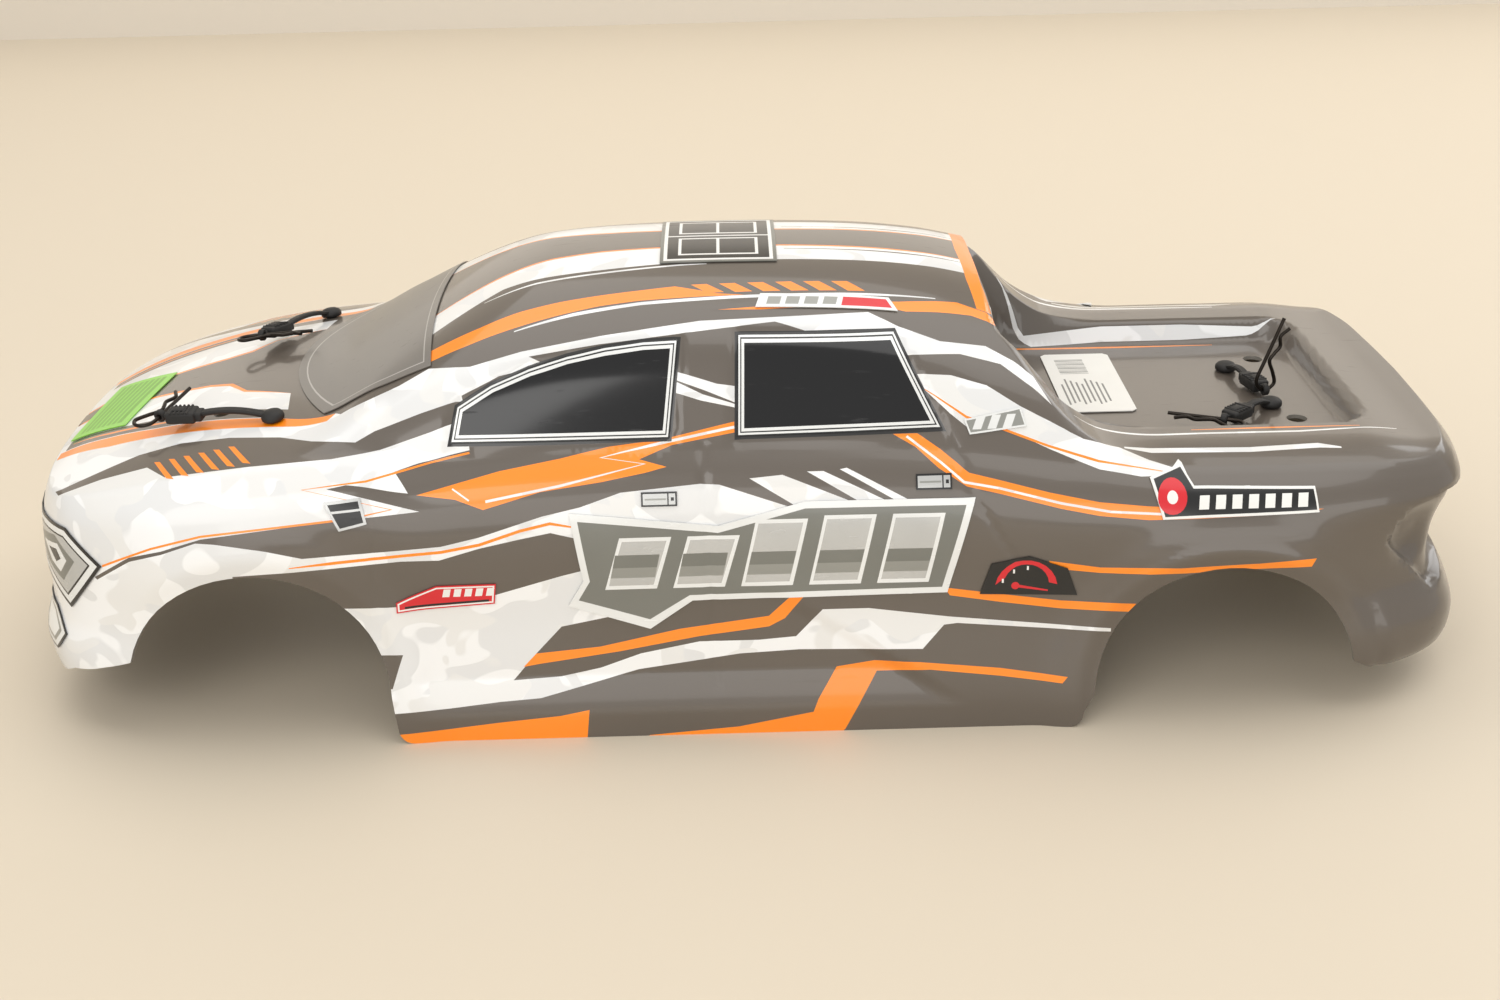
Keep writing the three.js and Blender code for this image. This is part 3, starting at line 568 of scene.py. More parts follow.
def sheet_face_group():
    """Roughness and height of a handled clear sheet: orange peel, dull patches and scuffs."""
    tree, given, out = new_tree("sheet_face", {
        "Roughness": ("Float", 0.3), "Dull patches": ("Float", 0.08), "Scuffs": ("Float", 0.12),
        "Peel": ("Float", 0.4)}, {"Roughness": "Float", "Height": "Float"})
    where = node(tree, "ShaderNodeTexCoord").outputs["Object"]
    patches = node(tree, "ShaderNodeTexNoise", {"Vector": where, "Scale": 14.0, "Detail": 3.0})
    stretched = node(tree, "ShaderNodeMapping", {"Vector": where, "Scale": (60, 420, 420),
                                                "Rotation": (0.3, 0.2, 0.5)})
    scratch = node(tree, "ShaderNodeTexNoise", {"Vector": stretched.outputs[0], "Scale": 1.0,
                                               "Detail": 2.0})
    line = node(tree, "ShaderNodeMapRange", {"Value": scratch.outputs["Fac"], "From Min": 0.66,
                                            "From Max": 0.74})
    peel = node(tree, "ShaderNodeTexNoise", {"Vector": where, "Scale": 260.0, "Detail": 1.0})
    broad = node(tree, "ShaderNodeMath", {0: patches.outputs["Fac"], 1: 0.5}, operation="SUBTRACT")
    broad = node(tree, "ShaderNodeMath", {0: broad.outputs[0], 1: given.outputs["Dull patches"],
                                         2: given.outputs["Roughness"]}, operation="MULTIPLY_ADD")
    rough = node(tree, "ShaderNodeMath", {0: line.outputs[0], 1: given.outputs["Scuffs"],
                                         2: broad.outputs[0]}, operation="MULTIPLY_ADD")
    height = node(tree, "ShaderNodeMath", {0: peel.outputs["Fac"], 1: given.outputs["Peel"],
                                          2: line.outputs[0]}, operation="MULTIPLY_ADD")
    tree.links.new(rough.outputs[0], out.inputs["Roughness"])
    tree.links.new(height.outputs[0], out.inputs["Height"])
    return tree


def blotch_group():
    """Soft-edged camouflage: two paler or darker shapes over a ground colour."""
    plain = ("Color", (1, 1, 1, 1))
    tree, given, out = new_tree("camouflage", {
        "Ground": plain, "Shape one": plain, "Shape two": plain, "Size": ("Float", 30.0)},
        {"Color": "Color"})
    where = node(tree, "ShaderNodeTexCoord").outputs["Object"]
    colour = given.outputs["Ground"]
    for shift, low, label in ((0.0, 0.5, "Shape one"), (7.3, 0.56, "Shape two")):
        moved = node(tree, "ShaderNodeMapping", {"Vector": where, "Location": (shift, shift, shift),
                                                "Scale": (1.0, 1.0, 1.5)})
        warp = node(tree, "ShaderNodeTexNoise", {"Vector": moved.outputs[0], "Detail": 1.2,
                                                "Scale": given.outputs["Size"], "Distortion": 0.9})
        mask = node(tree, "ShaderNodeMapRange", {"Value": warp.outputs["Fac"], "From Min": low,
                                                "From Max": low + 0.018})
        blend = node(tree, "ShaderNodeMix", data_type="RGBA")
        tree.links.new(mask.outputs[0], blend.inputs["Factor"])
        tree.links.new(colour, blend.inputs["A"])
        tree.links.new(given.outputs[label], blend.inputs["B"])
        colour = blend.outputs["Result"]
    tree.links.new(colour, out.inputs["Color"])
    return tree


SHEET_FACE = sheet_face_group()
CAMOUFLAGE = blotch_group()


def finish(name, roughness, metallic=0.0, coat=0.0, peel=0.4, scuffs=0.12, patches=0.08,
           bump=0.05, coat_roughness=0.08):
    """A material whose roughness and fine height come from the handled-sheet group."""
    made = bpy.data.materials.new(name)
    made.use_nodes = True
    tree = made.node_tree
    shader = tree.nodes["Principled BSDF"]
    face = node(tree, "ShaderNodeGroup", node_tree=SHEET_FACE)
    for key, value in (("Roughness", roughness), ("Dull patches", patches), ("Scuffs", scuffs),
                       ("Peel", peel)):
        face.inputs[key].default_value = value
    tree.links.new(face.outputs["Roughness"], shader.inputs["Roughness"])
    raised = node(tree, "ShaderNodeBump", {"Height": face.outputs["Height"], "Strength": bump,
                                          "Distance": 0.0005})
    tree.links.new(raised.outputs[0], shader.inputs["Normal"])
    shader.inputs["Metallic"].default_value = metallic
    shader.inputs["Coat Weight"].default_value = coat
    shader.inputs["Coat Roughness"].default_value = coat_roughness
    return made, tree, shader


def toned(name, code, other, scale, roughness, **more):
    """A sprayed colour with a slow drift towards a second tone."""
    made, tree, shader = finish(name, roughness, **more)
    where = node(tree, "ShaderNodeTexCoord").outputs["Object"]
    drift = node(tree, "ShaderNodeTexNoise", {"Vector": where, "Scale": scale, "Detail": 2.0})
    blend = node(tree, "ShaderNodeMix", data_type="RGBA")
    blend.inputs["A"].default_value = linear(code)
    blend.inputs["B"].default_value = linear(other)
    tree.links.new(drift.outputs["Fac"], blend.inputs["Factor"])
    tree.links.new(blend.outputs["Result"], shader.inputs["Base Color"])
    return made


def camouflaged(name, ground, one, two, size, roughness, **more):
    """A sprayed colour with two faint camouflage shapes in it."""
    made, tree, shader = finish(name, roughness, **more)
    pattern = node(tree, "ShaderNodeGroup", node_tree=CAMOUFLAGE)
    for label, value in (("Ground", linear(ground)), ("Shape one", linear(one)), ("Shape two", linear(two)),
                         ("Size", size)):
        pattern.inputs[label].default_value = value
    tree.links.new(pattern.outputs["Color"], shader.inputs["Base Color"])
    return made


GLOSS = {"coat": 0.7, "coat_roughness": 0.09}
paint = {
    "taupe": toned("paint_taupe", "574f46", "605850", 9.0, 0.38, **GLOSS),
    "white": camouflaged("paint_white_camo", "eff0f0", "dedfdf", "e4e4e2", 34.0, 0.36, **GLOSS),
    "orange": toned("paint_orange", "ff8f08", "fb8604", 20.0, 0.38, **GLOSS),
    "black": toned("paint_black", "121212", "1a1917", 20.0, 0.35, **GLOSS),
    "inside": toned("paint_backing", "8b8780", "807c75", 30.0, 0.6, bump=0.25, peel=1.0),
}

# ---- painted body shell ----
# Clear polycarbonate, trimmed at the arches, nose and tail and drilled for four body posts.
# Bands of white camouflage and orange run over a taupe ground, with fine pin lines, and the
# side glass has a black surround. Later masks cover earlier ones.
ARCH_STEPS = 28


def arch_cut(arch, start, end):
    """Points round an arch between two angles, in degrees from +X."""
    angles = np.radians(np.linspace(start, end, ARCH_STEPS))
    return [(arch["x"] + arch["r"] * math.cos(a), arch["z"] + arch["r"] * math.sin(a)) for a in angles]


def band(line, width):
    """A thin closed band round an open line."""
    p = np.array(line, float)
    d = np.gradient(p, axis=0)
    d /= np.linalg.norm(d, axis=1)[:, None]
    side = np.stack([-d[:, 1], d[:, 0]], 1) * width / 2
    side[0], side[-1] = side[0] * 0.3, side[-1] * 0.3
    return np.vstack([p + side, (p - side)[::-1]]).tolist()


def zigzag(line, width):
    """A thin closed band round an open line, with mitred corners."""
    p = np.array(line, float)
    d = np.diff(p, axis=0)
    d /= np.linalg.norm(d, axis=1)[:, None]
    n = np.stack([-d[:, 1], d[:, 0]], 1)
    before, after = np.vstack([n[:1], n]), np.vstack([n, n[-1:]])
    mitre = before + after
    mitre /= np.maximum((mitre * after).sum(1), 0.35)[:, None]
    return np.vstack([p + mitre * width / 2, (p - mitre * width / 2)[::-1]]).tolist()


def widened(outline, grow):
    """A convex outline moved outwards by grow, or inwards by a negative grow."""
    p = np.array(outline, float)
    area = np.cross(p, np.roll(p, -1, axis=0)).sum()
    d = np.roll(p, -1, axis=0) - p
    d /= np.linalg.norm(d, axis=1)[:, None]
    n = np.stack([d[:, 1], -d[:, 0]], 1) * (1 if area > 0 else -1)
    before = np.roll(n, 1, axis=0)
    mitre = before + n
    mitre /= np.maximum((mitre * n).sum(1), 0.3)[:, None]
    return (p + mitre * grow).tolist()


masks = []


def mask(colour, plane, outline, only=None):
    """Lays one more mask: only is "near" or "far" where one side alone has it."""
    masks.append((colour, plane, outline, only))


# White camouflage: hood, front wing, the band over the glass, the swooshes and the lower field.
mask("white", "plan", [(-290, -2), (-290, 99), (-120, 99), (-150, 66), (-170, 60), (-178, -2)])
mask("white", "lean", [(-300, -60), (-300, 96), (-250, 96), (-200, 80), (-152, 76), (-116, 80),
    (-101, 84), (-98, 62), (-116, 58), (-133, 52), (-149, 49), (-116, 40), (-159, 36), (-185, 20),
    (-185, -60)])
mask("taupe", "lean", [(-239, 19), (-223, 26), (-210, 28), (-195, 32), (-177, 34), (-159, 36), (-141, 37),
    (-116, 40), (-116, 26), (-124, 26), (-159, 24), (-172, 27), (-190, 30), (-197, 30.6), (-210, 26.8),
    (-223, 24.5), (-238, 18)])
mask("white", "lean", [(-186, 29), (-172, 27), (-159, 24), (-124, 26), (-109, 27), (-95, 30), (-72, 37),
    (-58, 40), (-43, 45), (-14, 47.5), (-7, 47), (22, 37), (-20, 25), (-57, 28), (-69, 31), (-80, 29),
    (-95, 26), (-110, 22), (-124, 22), (-150, 20), (-164, 19), (-186, 18)])
mask("taupe", "lean", [(-256, 51), (-253, 52), (-239, 58), (-225, 64), (-209, 68), (-190, 69.5),
    (-170, 69), (-157, 67), (-140, 66), (-133, 70), (-116, 76), (-103, 80), (-98, 80), (-98, 75),
    (-104, 72), (-112, 69), (-131, 63), (-148, 60), (-178, 58), (-210, 55), (-219, 59), (-237, 55),
    (-254, 49.5)])
mask("white", "lean", [(-160, 5), (-131, 5), (-100, 6), (-89, 9), (-66, 15), (-57, 17), (-60, 6),
    (-45, 0), (-67, -4), (-77, -14), (-86, -24), (-76, -31), (-91, -32), (-110, -34), (-131, -35.5),
    (-140, -35)])
mask("taupe", "lean", [(-150, -13), (-126, -13), (-131, -26), (-150, -26)])
mask("white", "lean", [(-86, -24), (-68, -23), (-53, -20), (-38, -15), (-16, -11), (6, -11), (20, -10),
    (30, 0), (47, 0), (77, -4), (137, -10), (137, -11.3), (80, -6.5), (75, -7), (67, -16), (21, -15),
    (-1, -16), (-16, -18), (-39, -21), (-61, -27), (-76, -31), (-90, -31.5)])
mask("white", "lean", [(-152, 75), (-144, 79), (-125, 87), (-114, 93), (-98, 93), (-79, 98), (-50, 103),
    (-13, 108), (21, 109), (50, 110), (61, 104), (76, 98), (93, 96), (103, 90), (110, 84), (116, 73),
    (109, 80), (98, 89), (83, 93), (63, 93), (61, 100), (46, 102), (27, 103), (15, 107), (-13, 104),
    (-50, 100), (-76, 96), (-70, 93), (-87, 89), (-101, 82), (-116, 77), (-134, 71), (-150, 71)])
mask("white", "lean", [(64, 86), (79, 85), (92, 81), (104, 73), (115, 67), (127, 60), (141, 57),
    (151, 52), (162, 48), (161, 46), (147, 46), (132, 49), (114, 57), (100, 64), (93, 66), (85, 65),
    (78, 71), (71, 78)])
mask("white", "lean", [(-22, 89), (-7, 84), (0, 83), (0, 75), (-13, 78), (-22, 81)])
mask("taupe", "lean", band([(-22, 85.5), (-12, 81), (0, 76.5)], 1.6))
for bar in ([(4, 49), (16, 50), (45, 38), (23, 37)], [(25, 51), (31, 51), (57, 38), (48, 37)],
            [(37, 51.5), (39.5, 52), (65, 38), (61.5, 37)]):
    mask("white", "lean", bar)

# Hood: a taupe centre stripe with orange edges, a dark strip and an orange band each side.
mask("orange", "plan", [(-290, -2), (-272, 7), (-250, 10), (-236, 13), (-210, 17), (-201, 20.5),
    (-193, 30), (-172, 38), (-150, 40), (-150, -2)])
mask("taupe", "plan", [(-290, -2), (-272, 5), (-250, 8), (-236, 11), (-210, 15), (-200, 18.5), (-192, 29),
    (-172, 38), (-140, 41), (-140, -2)])
mask("taupe", "plan", [(-264, 29), (-240, 37), (-208, 44), (-180, 50), (-158, 56), (-155, 66), (-175, 58),
    (-205, 51.5), (-225, 48), (-245, 43), (-264, 37)])
mask("orange", "plan", [(-266, 37), (-245, 43.5), (-225, 48.5), (-205, 52), (-175, 58.5), (-150, 66),
    (-153, 69), (-171, 66), (-193, 62), (-208, 59), (-224, 56), (-241, 53), (-266, 43)])
mask("orange", "plan", band([(-262, 33), (-244, 39.5), (-224, 44.5), (-204, 48)], 1.4))

# Cab roof: taupe middle, a white camouflage band with its pin lines, and an orange band.
mask("white", "plan", [(-118, 27), (-92, 20), (-70, 15.5), (-51, 13), (-20, 11.5), (20, 11.5), (66, 12.5),
    (91, 13), (91, 26), (66, 25.5), (20, 25.5), (-20, 27), (-51, 30), (-88, 32), (-118, 45)])
mask("orange", "plan", band([(-118, 26.6), (-92, 19.6), (-70, 15), (-51, 12.6), (-20, 11.2), (20, 11.2),
    (66, 12.2), (91, 12.7)], 1.3))
mask("taupe", "plan", band([(20, 15), (66, 15.6), (91, 16)], 1.3))
mask("white", "plan", band([(-95, 37.5), (-75, 34.5), (-51, 32.4), (-20, 29), (-10, 28.6)], 1.1))
mask("orange", "plan", [(-118, 56), (-95, 53), (-80, 50), (-65, 48), (-50, 46.5), (-35, 45), (-22, 43.5),
    (-6, 48), (4, 49), (-13, 49.5), (-35, 50.5), (-50, 52), (-65, 54.5), (-80, 57), (-99, 60),
    (-118, 62)])
mask("white", "plan", band([(-82, 58.8), (-60, 55), (-35, 52), (0, 50), (40, 48.6), (76, 47.4)], 1.5))
for k in range(6):
    x = -16 + 10.6 * k
    mask("orange", "plan", [(x, 42.8 - 0.3 * k), (x + 6, 42.6 - 0.3 * k), (x + 12.5, 47.4 - 0.2 * k),
                            (x + 6, 47.6 - 0.2 * k)])
mask("orange", "plan", [(-6, 56), (10, 54.8), (43, 52.8), (62, 51), (84, 47.6), (95, 50), (104, 58),
    (98, 55), (89, 53), (64, 55.5), (57, 54.2), (43, 54.2), (10, 56.2)])
mask("orange", "plan", [(88.5, -2), (94.5, -2), (95, 32), (97, 50), (91.5, 49), (89.5, 31)])

# Side: orange blocks, bands and ticks, each with its pin lines.
for k in range(6):
    x, v = -217 + 5.6 * k, 61 + k
    mask("orange", "lean", [(x, v), (x + 2.4, v), (x + 11, v - 6.8), (x + 7.8, v - 6.4)])
mask("orange", "lean", zigzag([(-235, 23), (-214, 29), (-195, 33), (-173, 35), (-141, 38), (-126, 41),
    (-158, 49), (-135, 51.5), (-112, 58), (-98, 61)], 0.8))
mask("orange", "lean", band([(-164, 20.6), (-149, 22), (-124, 24), (-109, 25), (-95, 27.3), (-80, 32),
    (-69, 34.4), (-56, 32)], 1.1))
mask("orange", "lean", [(-117, 46), (-87, 54), (-65, 58), (-47, 62), (-28, 64), (-1, 70), (-1, 66),
    (-24, 62), (-36, 57), (-26, 54), (-34, 52), (-50, 49), (-72, 46), (-93, 40), (-103, 44)])
mask("white", "lean", zigzag([(-1, 68), (-32, 62), (-50, 58), (-34, 55.3), (-65, 48), (-92, 43)], 1.0))
mask("white", "lean", band([(-104, 48), (-98, 43.5)], 2.0))
mask("orange", "lean", [(57, 64), (66, 64), (74, 58), (84, 49), (95, 46), (113, 41), (131, 37), (149, 35),
    (168, 34), (213, 32.5), (204, 31), (167, 30), (149, 30), (131, 32), (117, 35), (95, 41), (83, 44),
    (73, 51), (65, 59)])
mask("white", "lean", zigzag([(62, 63), (74, 53), (82, 45.6), (95, 43), (117, 37), (135, 33.4),
    (160, 31.6)], 0.9))
mask("orange", "lean", [(75, 7), (96, 4), (118, 1), (146, -1), (144, -4), (118, -2), (96, 1), (77, 4)])
mask("orange", "lean", [(113, 16), (132, 13), (161, 12), (190, 13), (211, 14.4), (209, 11.4), (190, 11),
    (163, 10), (150, 10), (132, 11), (115, 13)])
mask("orange", "lean", [(-134, -44), (-111, -42), (-92, -40), (-69, -38), (-58, -36), (-61, -60),
    (-140, -60)])
mask("orange", "lean", [(-36, -46.5), (-2, -44), (26, -39), (28, -34), (35, -22), (49, -20), (66, -21),
    (96, -24), (121, -28), (119, -30.4), (96, -27), (70, -24), (50, -24), (38, -46), (34, -60),
    (-36, -60)])
mask("orange", "lean", [(-82, -19), (-77, -14), (-53, -12), (-23, -6), (10, -2), (18, 5), (23, 5),
    (16, -3), (10, -6), (-16, -9), (-46, -14), (-76, -18)])
mask("orange", "lean", band([(68, 81), (84, 69.5), (93, 66.4), (114, 58), (132, 52), (156, 47.6)], 0.9))
mask("white", "lean", band([(143, 57), (153, 55.6), (190, 55), (216, 56), (224, 55)], 1.8))
mask("white", "plan", band([(126, 72), (140, 70.4), (175, 69.6), (212, 69.8), (250, 66.5)], 1.5), "near")
mask("orange", "plan", band([(172, 66), (200, 65.6), (236, 65.6)], 1.3), "near")
mask("white", "plan", [(112, 63), (127, 58.6), (161, 60), (196, 60), (238, 59), (225, 57.6), (196, 57),
    (161, 57), (130, 56)], "far")
mask("orange", "plan", band([(110, 56), (121, 54), (138, 53.4), (170, 53), (209, 53)], 1.8), "far")
mask("white", "plan", band([(118, 76), (142, 79), (180, 78), (214, 77)], 2.4), "far")

# Black surrounds of the side glass.
for window in (WINDOW_FRONT, WINDOW_REAR):
    mask("black", "side", widened(window, 1.0))

ORDER = ["taupe", "white", "orange", "black", "inside"]


def sill_end(arch, way):
    """The rounded bottom corner of a sill beside an arch, from the table up."""
    x = arch["x"] + way * (arch["r"] + arch["lean"] + SILL_CORNER)
    turn = np.radians(np.linspace(-90, -180, 7))
    corner = [(x + way * SILL_CORNER * math.cos(a), SILL_CORNER * (1 + math.sin(a))) for a in turn]
    return [(x, -30), *corner]


trims = [
    ("side", [*sill_end(FRONT_ARCH, 1), *arch_cut(FRONT_ARCH, 0, 163.6), (-254, 25), (-268, 15),
              (-320, 15), (-320, -30)]),
    ("side", [*sill_end(REAR_ARCH, -1), *arch_cut(REAR_ARCH, 180, 9.9), (237, 17), (260, 14),
              (320, 14), (320, -30)]),
]
POST_RADIUS, STEM_HOLE = 4.0, 2.4


def ring(x, y, radius, steps=24):
    return [(x + radius * math.cos(2 * math.pi * k / steps), y + radius * math.sin(2 * math.pi * k / steps))
            for k in range(steps)]


holes = [(-197, 47, POST_RADIUS, None), (222, 34, POST_RADIUS, None), (-175, 60, STEM_HOLE, None),
         (215, 21, STEM_HOLE, "near"), (207, 21, STEM_HOLE, "far")]
outlines = [press(line, plane) for _, plane, line, _ in masks]
cuts = [press(line, plane) for plane, line in trims]
bores = [press(ring(x, y, r), "plan") for x, y, r, _ in holes]
creases = [press(line, "side") for line in (TAIL_POCKET, widened(TAIL_POCKET, -POCKET_SLOPE))]
base = np.stack([mesh_u, mesh_t], 1)
flat, tris, held = cut_sheet(base, [*outlines, *cuts, *bores, *creases])
cut_held = held[len(outlines):len(outlines) + len(cuts)]
bore_held = held[len(outlines) + len(cuts):-len(creases)]


def side_slots(side):
    """Paint index of each triangle on one side, or -1 where the sheet is cut away."""
    slots = np.zeros(len(tris), int)
    for (colour, _, _, only), inside in zip(masks, held):
        if only in (None, side):
            slots[inside] = ORDER.index(colour)
    for inside in cut_held:
        slots[inside] = -1
    for (_, _, _, only), inside in zip(holes, bore_held):
        if only in (None, side):
            slots[inside] = -1
    return slots


outer = skin(flat[:, 0], flat[:, 1])
way = directions(skin, flat[:, 0], flat[:, 1])
near, far = side_slots("near"), side_slots("far")
halves = both_halves(outer, outer - way * WALL, way, (tris[near >= 0], near[near >= 0]),
                     (tris[far >= 0], far[far >= 0]))
points, faces, slots, turned = closed_sheet(*halves, ORDER.index("inside"))
shell = build_piece("painted_shell", to_frame(points), faces, slots, [paint[c] for c in ORDER], turned)
claim(shell, "body_shell", "shell")

# ---- sticker film ----
# Printed vinyl pressed on the outside of the shell. Each sticker is a thin closed film with its
# printed shapes cut into it; the badges are thicker and their edges are rounded over.
LIFT = 0.3
FILM, BADGE = 0.4, 0.8


def over_top(xy):
    """Points and directions of the upper surface over plan points, both sides of the middle."""
    def at(x, y):
        return np.stack([x, y, top_height(x, np.abs(y))], -1)
    x, y = xy[:, 0], xy[:, 1]
    n = np.cross(at(x + 0.7, y) - at(x - 0.7, y), at(x, y + 0.7) - at(x, y - 0.7))
    return at(x, y), n / np.linalg.norm(n, axis=1)[:, None]


def on_skin(ut):
    return skin(ut[:, 0], ut[:, 1]), directions(skin, ut[:, 0], ut[:, 1])


def film(layers, plane="side", thickness=FILM, rounded=False, spacing=2.4, top=False):
    """The near skin of a sticker. layers lists (colour, outline), the whole shape first.
    Returns its outer and inner points, directions, faces and the layer seen at each face."""
    lines = [walk(line) if top else press(line, plane) for _, line in layers]
    scale = (1, 1) if top else SKIN_SCALE
    low, high = lines[0].min(0), lines[0].max(0)
    steps = [np.arange(a, b, spacing / k) for a, b, k in zip(low, high, scale)]
    base = np.stack([a.ravel() for a in np.meshgrid(*steps)], 1)
    base = base[holds(lines[0], base)]
    flat, tris, held = cut_sheet(base, lines, scale)
    slots = np.zeros(len(tris), int)
    for k, inside in enumerate(held):
        slots[inside] = k
    tris, slots = tris[held[0]], slots[held[0]]
    points, way = (over_top if top else on_skin)(flat)
    height = np.full(len(points), LIFT + thickness)
    if rounded:
        height[np.unique(np.array(rim_edges(tris)))] = LIFT + thickness * 0.5
    return points + way * height[:, None], points + way * LIFT, way, tris, slots


def sticker(name, part, slot, layers, side="near", **more):
    """Makes one sticker: on the near or far side, both halves in one, or drawn over the top."""
    outer, inner, way, tris, slots = film(layers, top=side == "top", **more)
    colours = list(dict.fromkeys(c for c, _ in layers))
    slots = np.array([colours.index(c) for c, _ in layers])[slots]
    if side == "both":
        outer, inner, way, tris, slots = both_halves(outer, inner, way, (tris, slots), (tris, slots))
    elif side == "far":
        outer, inner, way, tris = outer * MIRROR, inner * MIRROR, way * MIRROR, tris[:, ::-1]
    points, faces, slots, turned = closed_sheet(outer, inner, way, tris, slots, 0)
    piece = build_piece(name, to_frame(points), faces, slots, [vinyl[c] for c in colours], turned)
    claim(piece, part, "shell")


def side_pair(name, slot, layers, **more):
    """The same sticker on the near, left side and the far, right one."""
    for hand, side in (("left", "near"), ("right", "far")):
        sticker(f"film_{name}_{hand}", f"{name}_{hand}", slot, layers, side=side, **more)


vinyl = {
    "glass": toned("vinyl_black_glass", "07080a", "0c0d10", 12.0, 0.12, coat=0.15, peel=0.1, scuffs=0.25,
                   patches=0.03, bump=0.02),
    "satin": toned("vinyl_satin_smoke", "736f6a", "7d7974", 6.0, 0.34, coat=0.15, patches=0.1),
    "line": toned("vinyl_pale_line", "a7a39e", "b6b2ad", 30.0, 0.4),
    "silver": toned("vinyl_silver", "c9cac9", "b4b6b5", 40.0, 0.26, metallic=0.35, coat=0.3),
    "bright": toned("vinyl_bright_silver", "eceeed", "dfe1e0", 40.0, 0.25, metallic=0.1, coat=0.3),
    "steel": toned("vinyl_steel_grey", "8c8d88", "9b9c97", 25.0, 0.3, metallic=0.3, coat=0.3),
    "shade": toned("vinyl_shade_grey", "6f706a", "80817b", 25.0, 0.34, metallic=0.2, coat=0.3),
    "black": toned("vinyl_black", "131313", "1b1b1b", 20.0, 0.28, coat=0.2),
    "red": toned("vinyl_red", "dd1f2b", "c91a26", 25.0, 0.3, coat=0.3),
    "white": toned("vinyl_white", "efefec", "e4e4e0", 30.0, 0.35, coat=0.2),
}

# ---- glass stickers ----
# Black gloss side and rear glass with a double silver frame; the windshield is a satin smoke
# film, bowed at its foot, with one pale line near its edge.
def framed(window):
    """A black pane with two silver lines round it."""
    return [("black", window), ("bright", widened(window, -0.4)),
            ("black", widened(window, -1.05)), ("bright", widened(window, -1.5)),
            ("glass", widened(window, -2.5))]


side_pair("side_window_front", "black_window_film", framed(WINDOW_FRONT))
side_pair("side_window_rear", "black_window_film", framed(WINDOW_REAR))
REAR_GLASS = [(-4, 113), (40, 113), (36, 139), (-4, 139)]
sticker("film_rear_window", "rear_window_decal", "black_window_film",
        [("bright", REAR_GLASS), ("black", [(-4, 114), (39, 114), (35.3, 138), (-4, 138)]),
         ("glass", [(-4, 115), (37.8, 115), (34.5, 137), (-4, 137)])], side="both", plane="tail")


def bowed(x_edge, x_middle, half_width, steps=14):
    """A line across the truck that bows towards x_middle at its centre."""
    ys = np.linspace(-half_width, half_width, steps)
    return [(x_edge + (x_middle - x_edge) * (1 - (y / half_width) ** 2), y) for y in ys]


def screen(inset):
    foot = bowed(-155 + inset, -175 + inset, 63 - inset, 22)
    head = bowed(-113 - inset * 0.9, -116 - inset * 0.9, 64 - inset)
    return [*foot, *head[::-1]]


sticker("film_windshield", "windshield_decal", "smoke_satin_film",
        [("satin", screen(0)), ("line", screen(3.0)), ("satin", screen(3.5))],
        side="top")

# ---- lamps and grille ----
# Printed lamps of nested silver and dark arrows, and a dark grille with silver slats.
HEADLIGHT = [(-274, 80), (-250, 81), (-235, 70), (-252, 49), (-265, 57), (-272, 61)]
side_pair("headlight_decal", "lamp_film", [
    ("black", HEADLIGHT), ("bright", widened(HEADLIGHT, -1.2)),
    ("black", widened(HEADLIGHT, -3.4)), ("silver", widened(HEADLIGHT, -4.1)),
    ("shade", [(-268, 72), (-256, 76), (-247, 69), (-254, 59), (-263, 62)]),
    ("bright", [(-264, 70), (-255, 73), (-251, 68), (-255, 62), (-260, 64)]),
    ("black", [(-261, 69), (-256, 70.5), (-254, 67.5), (-257, 65)])], spacing=2.0)
FOG = [(-274, 45), (-262, 44), (-256, 37), (-262, 29), (-272, 29)]
side_pair("fog_light_decal", "lamp_film", [
    ("black", FOG), ("bright", widened(FOG, -0.7)),
    ("steel", widened(FOG, -2.2)), ("white", widened(FOG, -3.4))], spacing=2.0)
GRILLE = [(-4, 46), (46, 46), (50, 60), (46, 78), (-4, 78)]
slats = [("silver", [(-4, z), (43.5, z), (44.5, z + 1.8), (-4, z + 1.8)]) for z in (51, 57.5, 64, 70.5)]
sticker("film_grille", "grille_decal", "grille_film",
        [("black", GRILLE), ("steel", [(-4, 47), (45.2, 47), (48.8, 60), (45.2, 77), (-4, 77)]),
         ("black", [(-4, 48.6), (44, 48.6), (47.2, 60), (44, 75.4), (-4, 75.4)]), *slats],
        side="both", plane="nose", thickness=BADGE, rounded=True)

# ---- door handles, vents and badges ----
# Small printed hardware and decoration. The badges carry plain shapes only: slanted bars,
# discs and blocks, in silver, red, black and white.
def handle(x, z):
    box = [(x - 6.5, z - 2.5), (x + 6.5, z - 2.5), (x + 6.5, z + 2.5), (x - 6.5, z + 2.5)]
    return [("black", box), ("silver", widened(box, -0.6)),
            ("steel", [(x - 5.2, z - 0.3), (x + 2.6, z - 0.3), (x + 2.6, z + 0.3), (x - 5.2, z + 0.3)]),
            ("black", [(x + 3, z - 1.9), (x + 3.5, z - 1.9), (x + 3.5, z + 1.9), (x + 3, z + 1.9)]),
            ("black", [(x + 4.3, z - 0.6), (x + 5.4, z - 0.6), (x + 5.4, z + 0.6), (x + 4.3, z + 0.6)])]


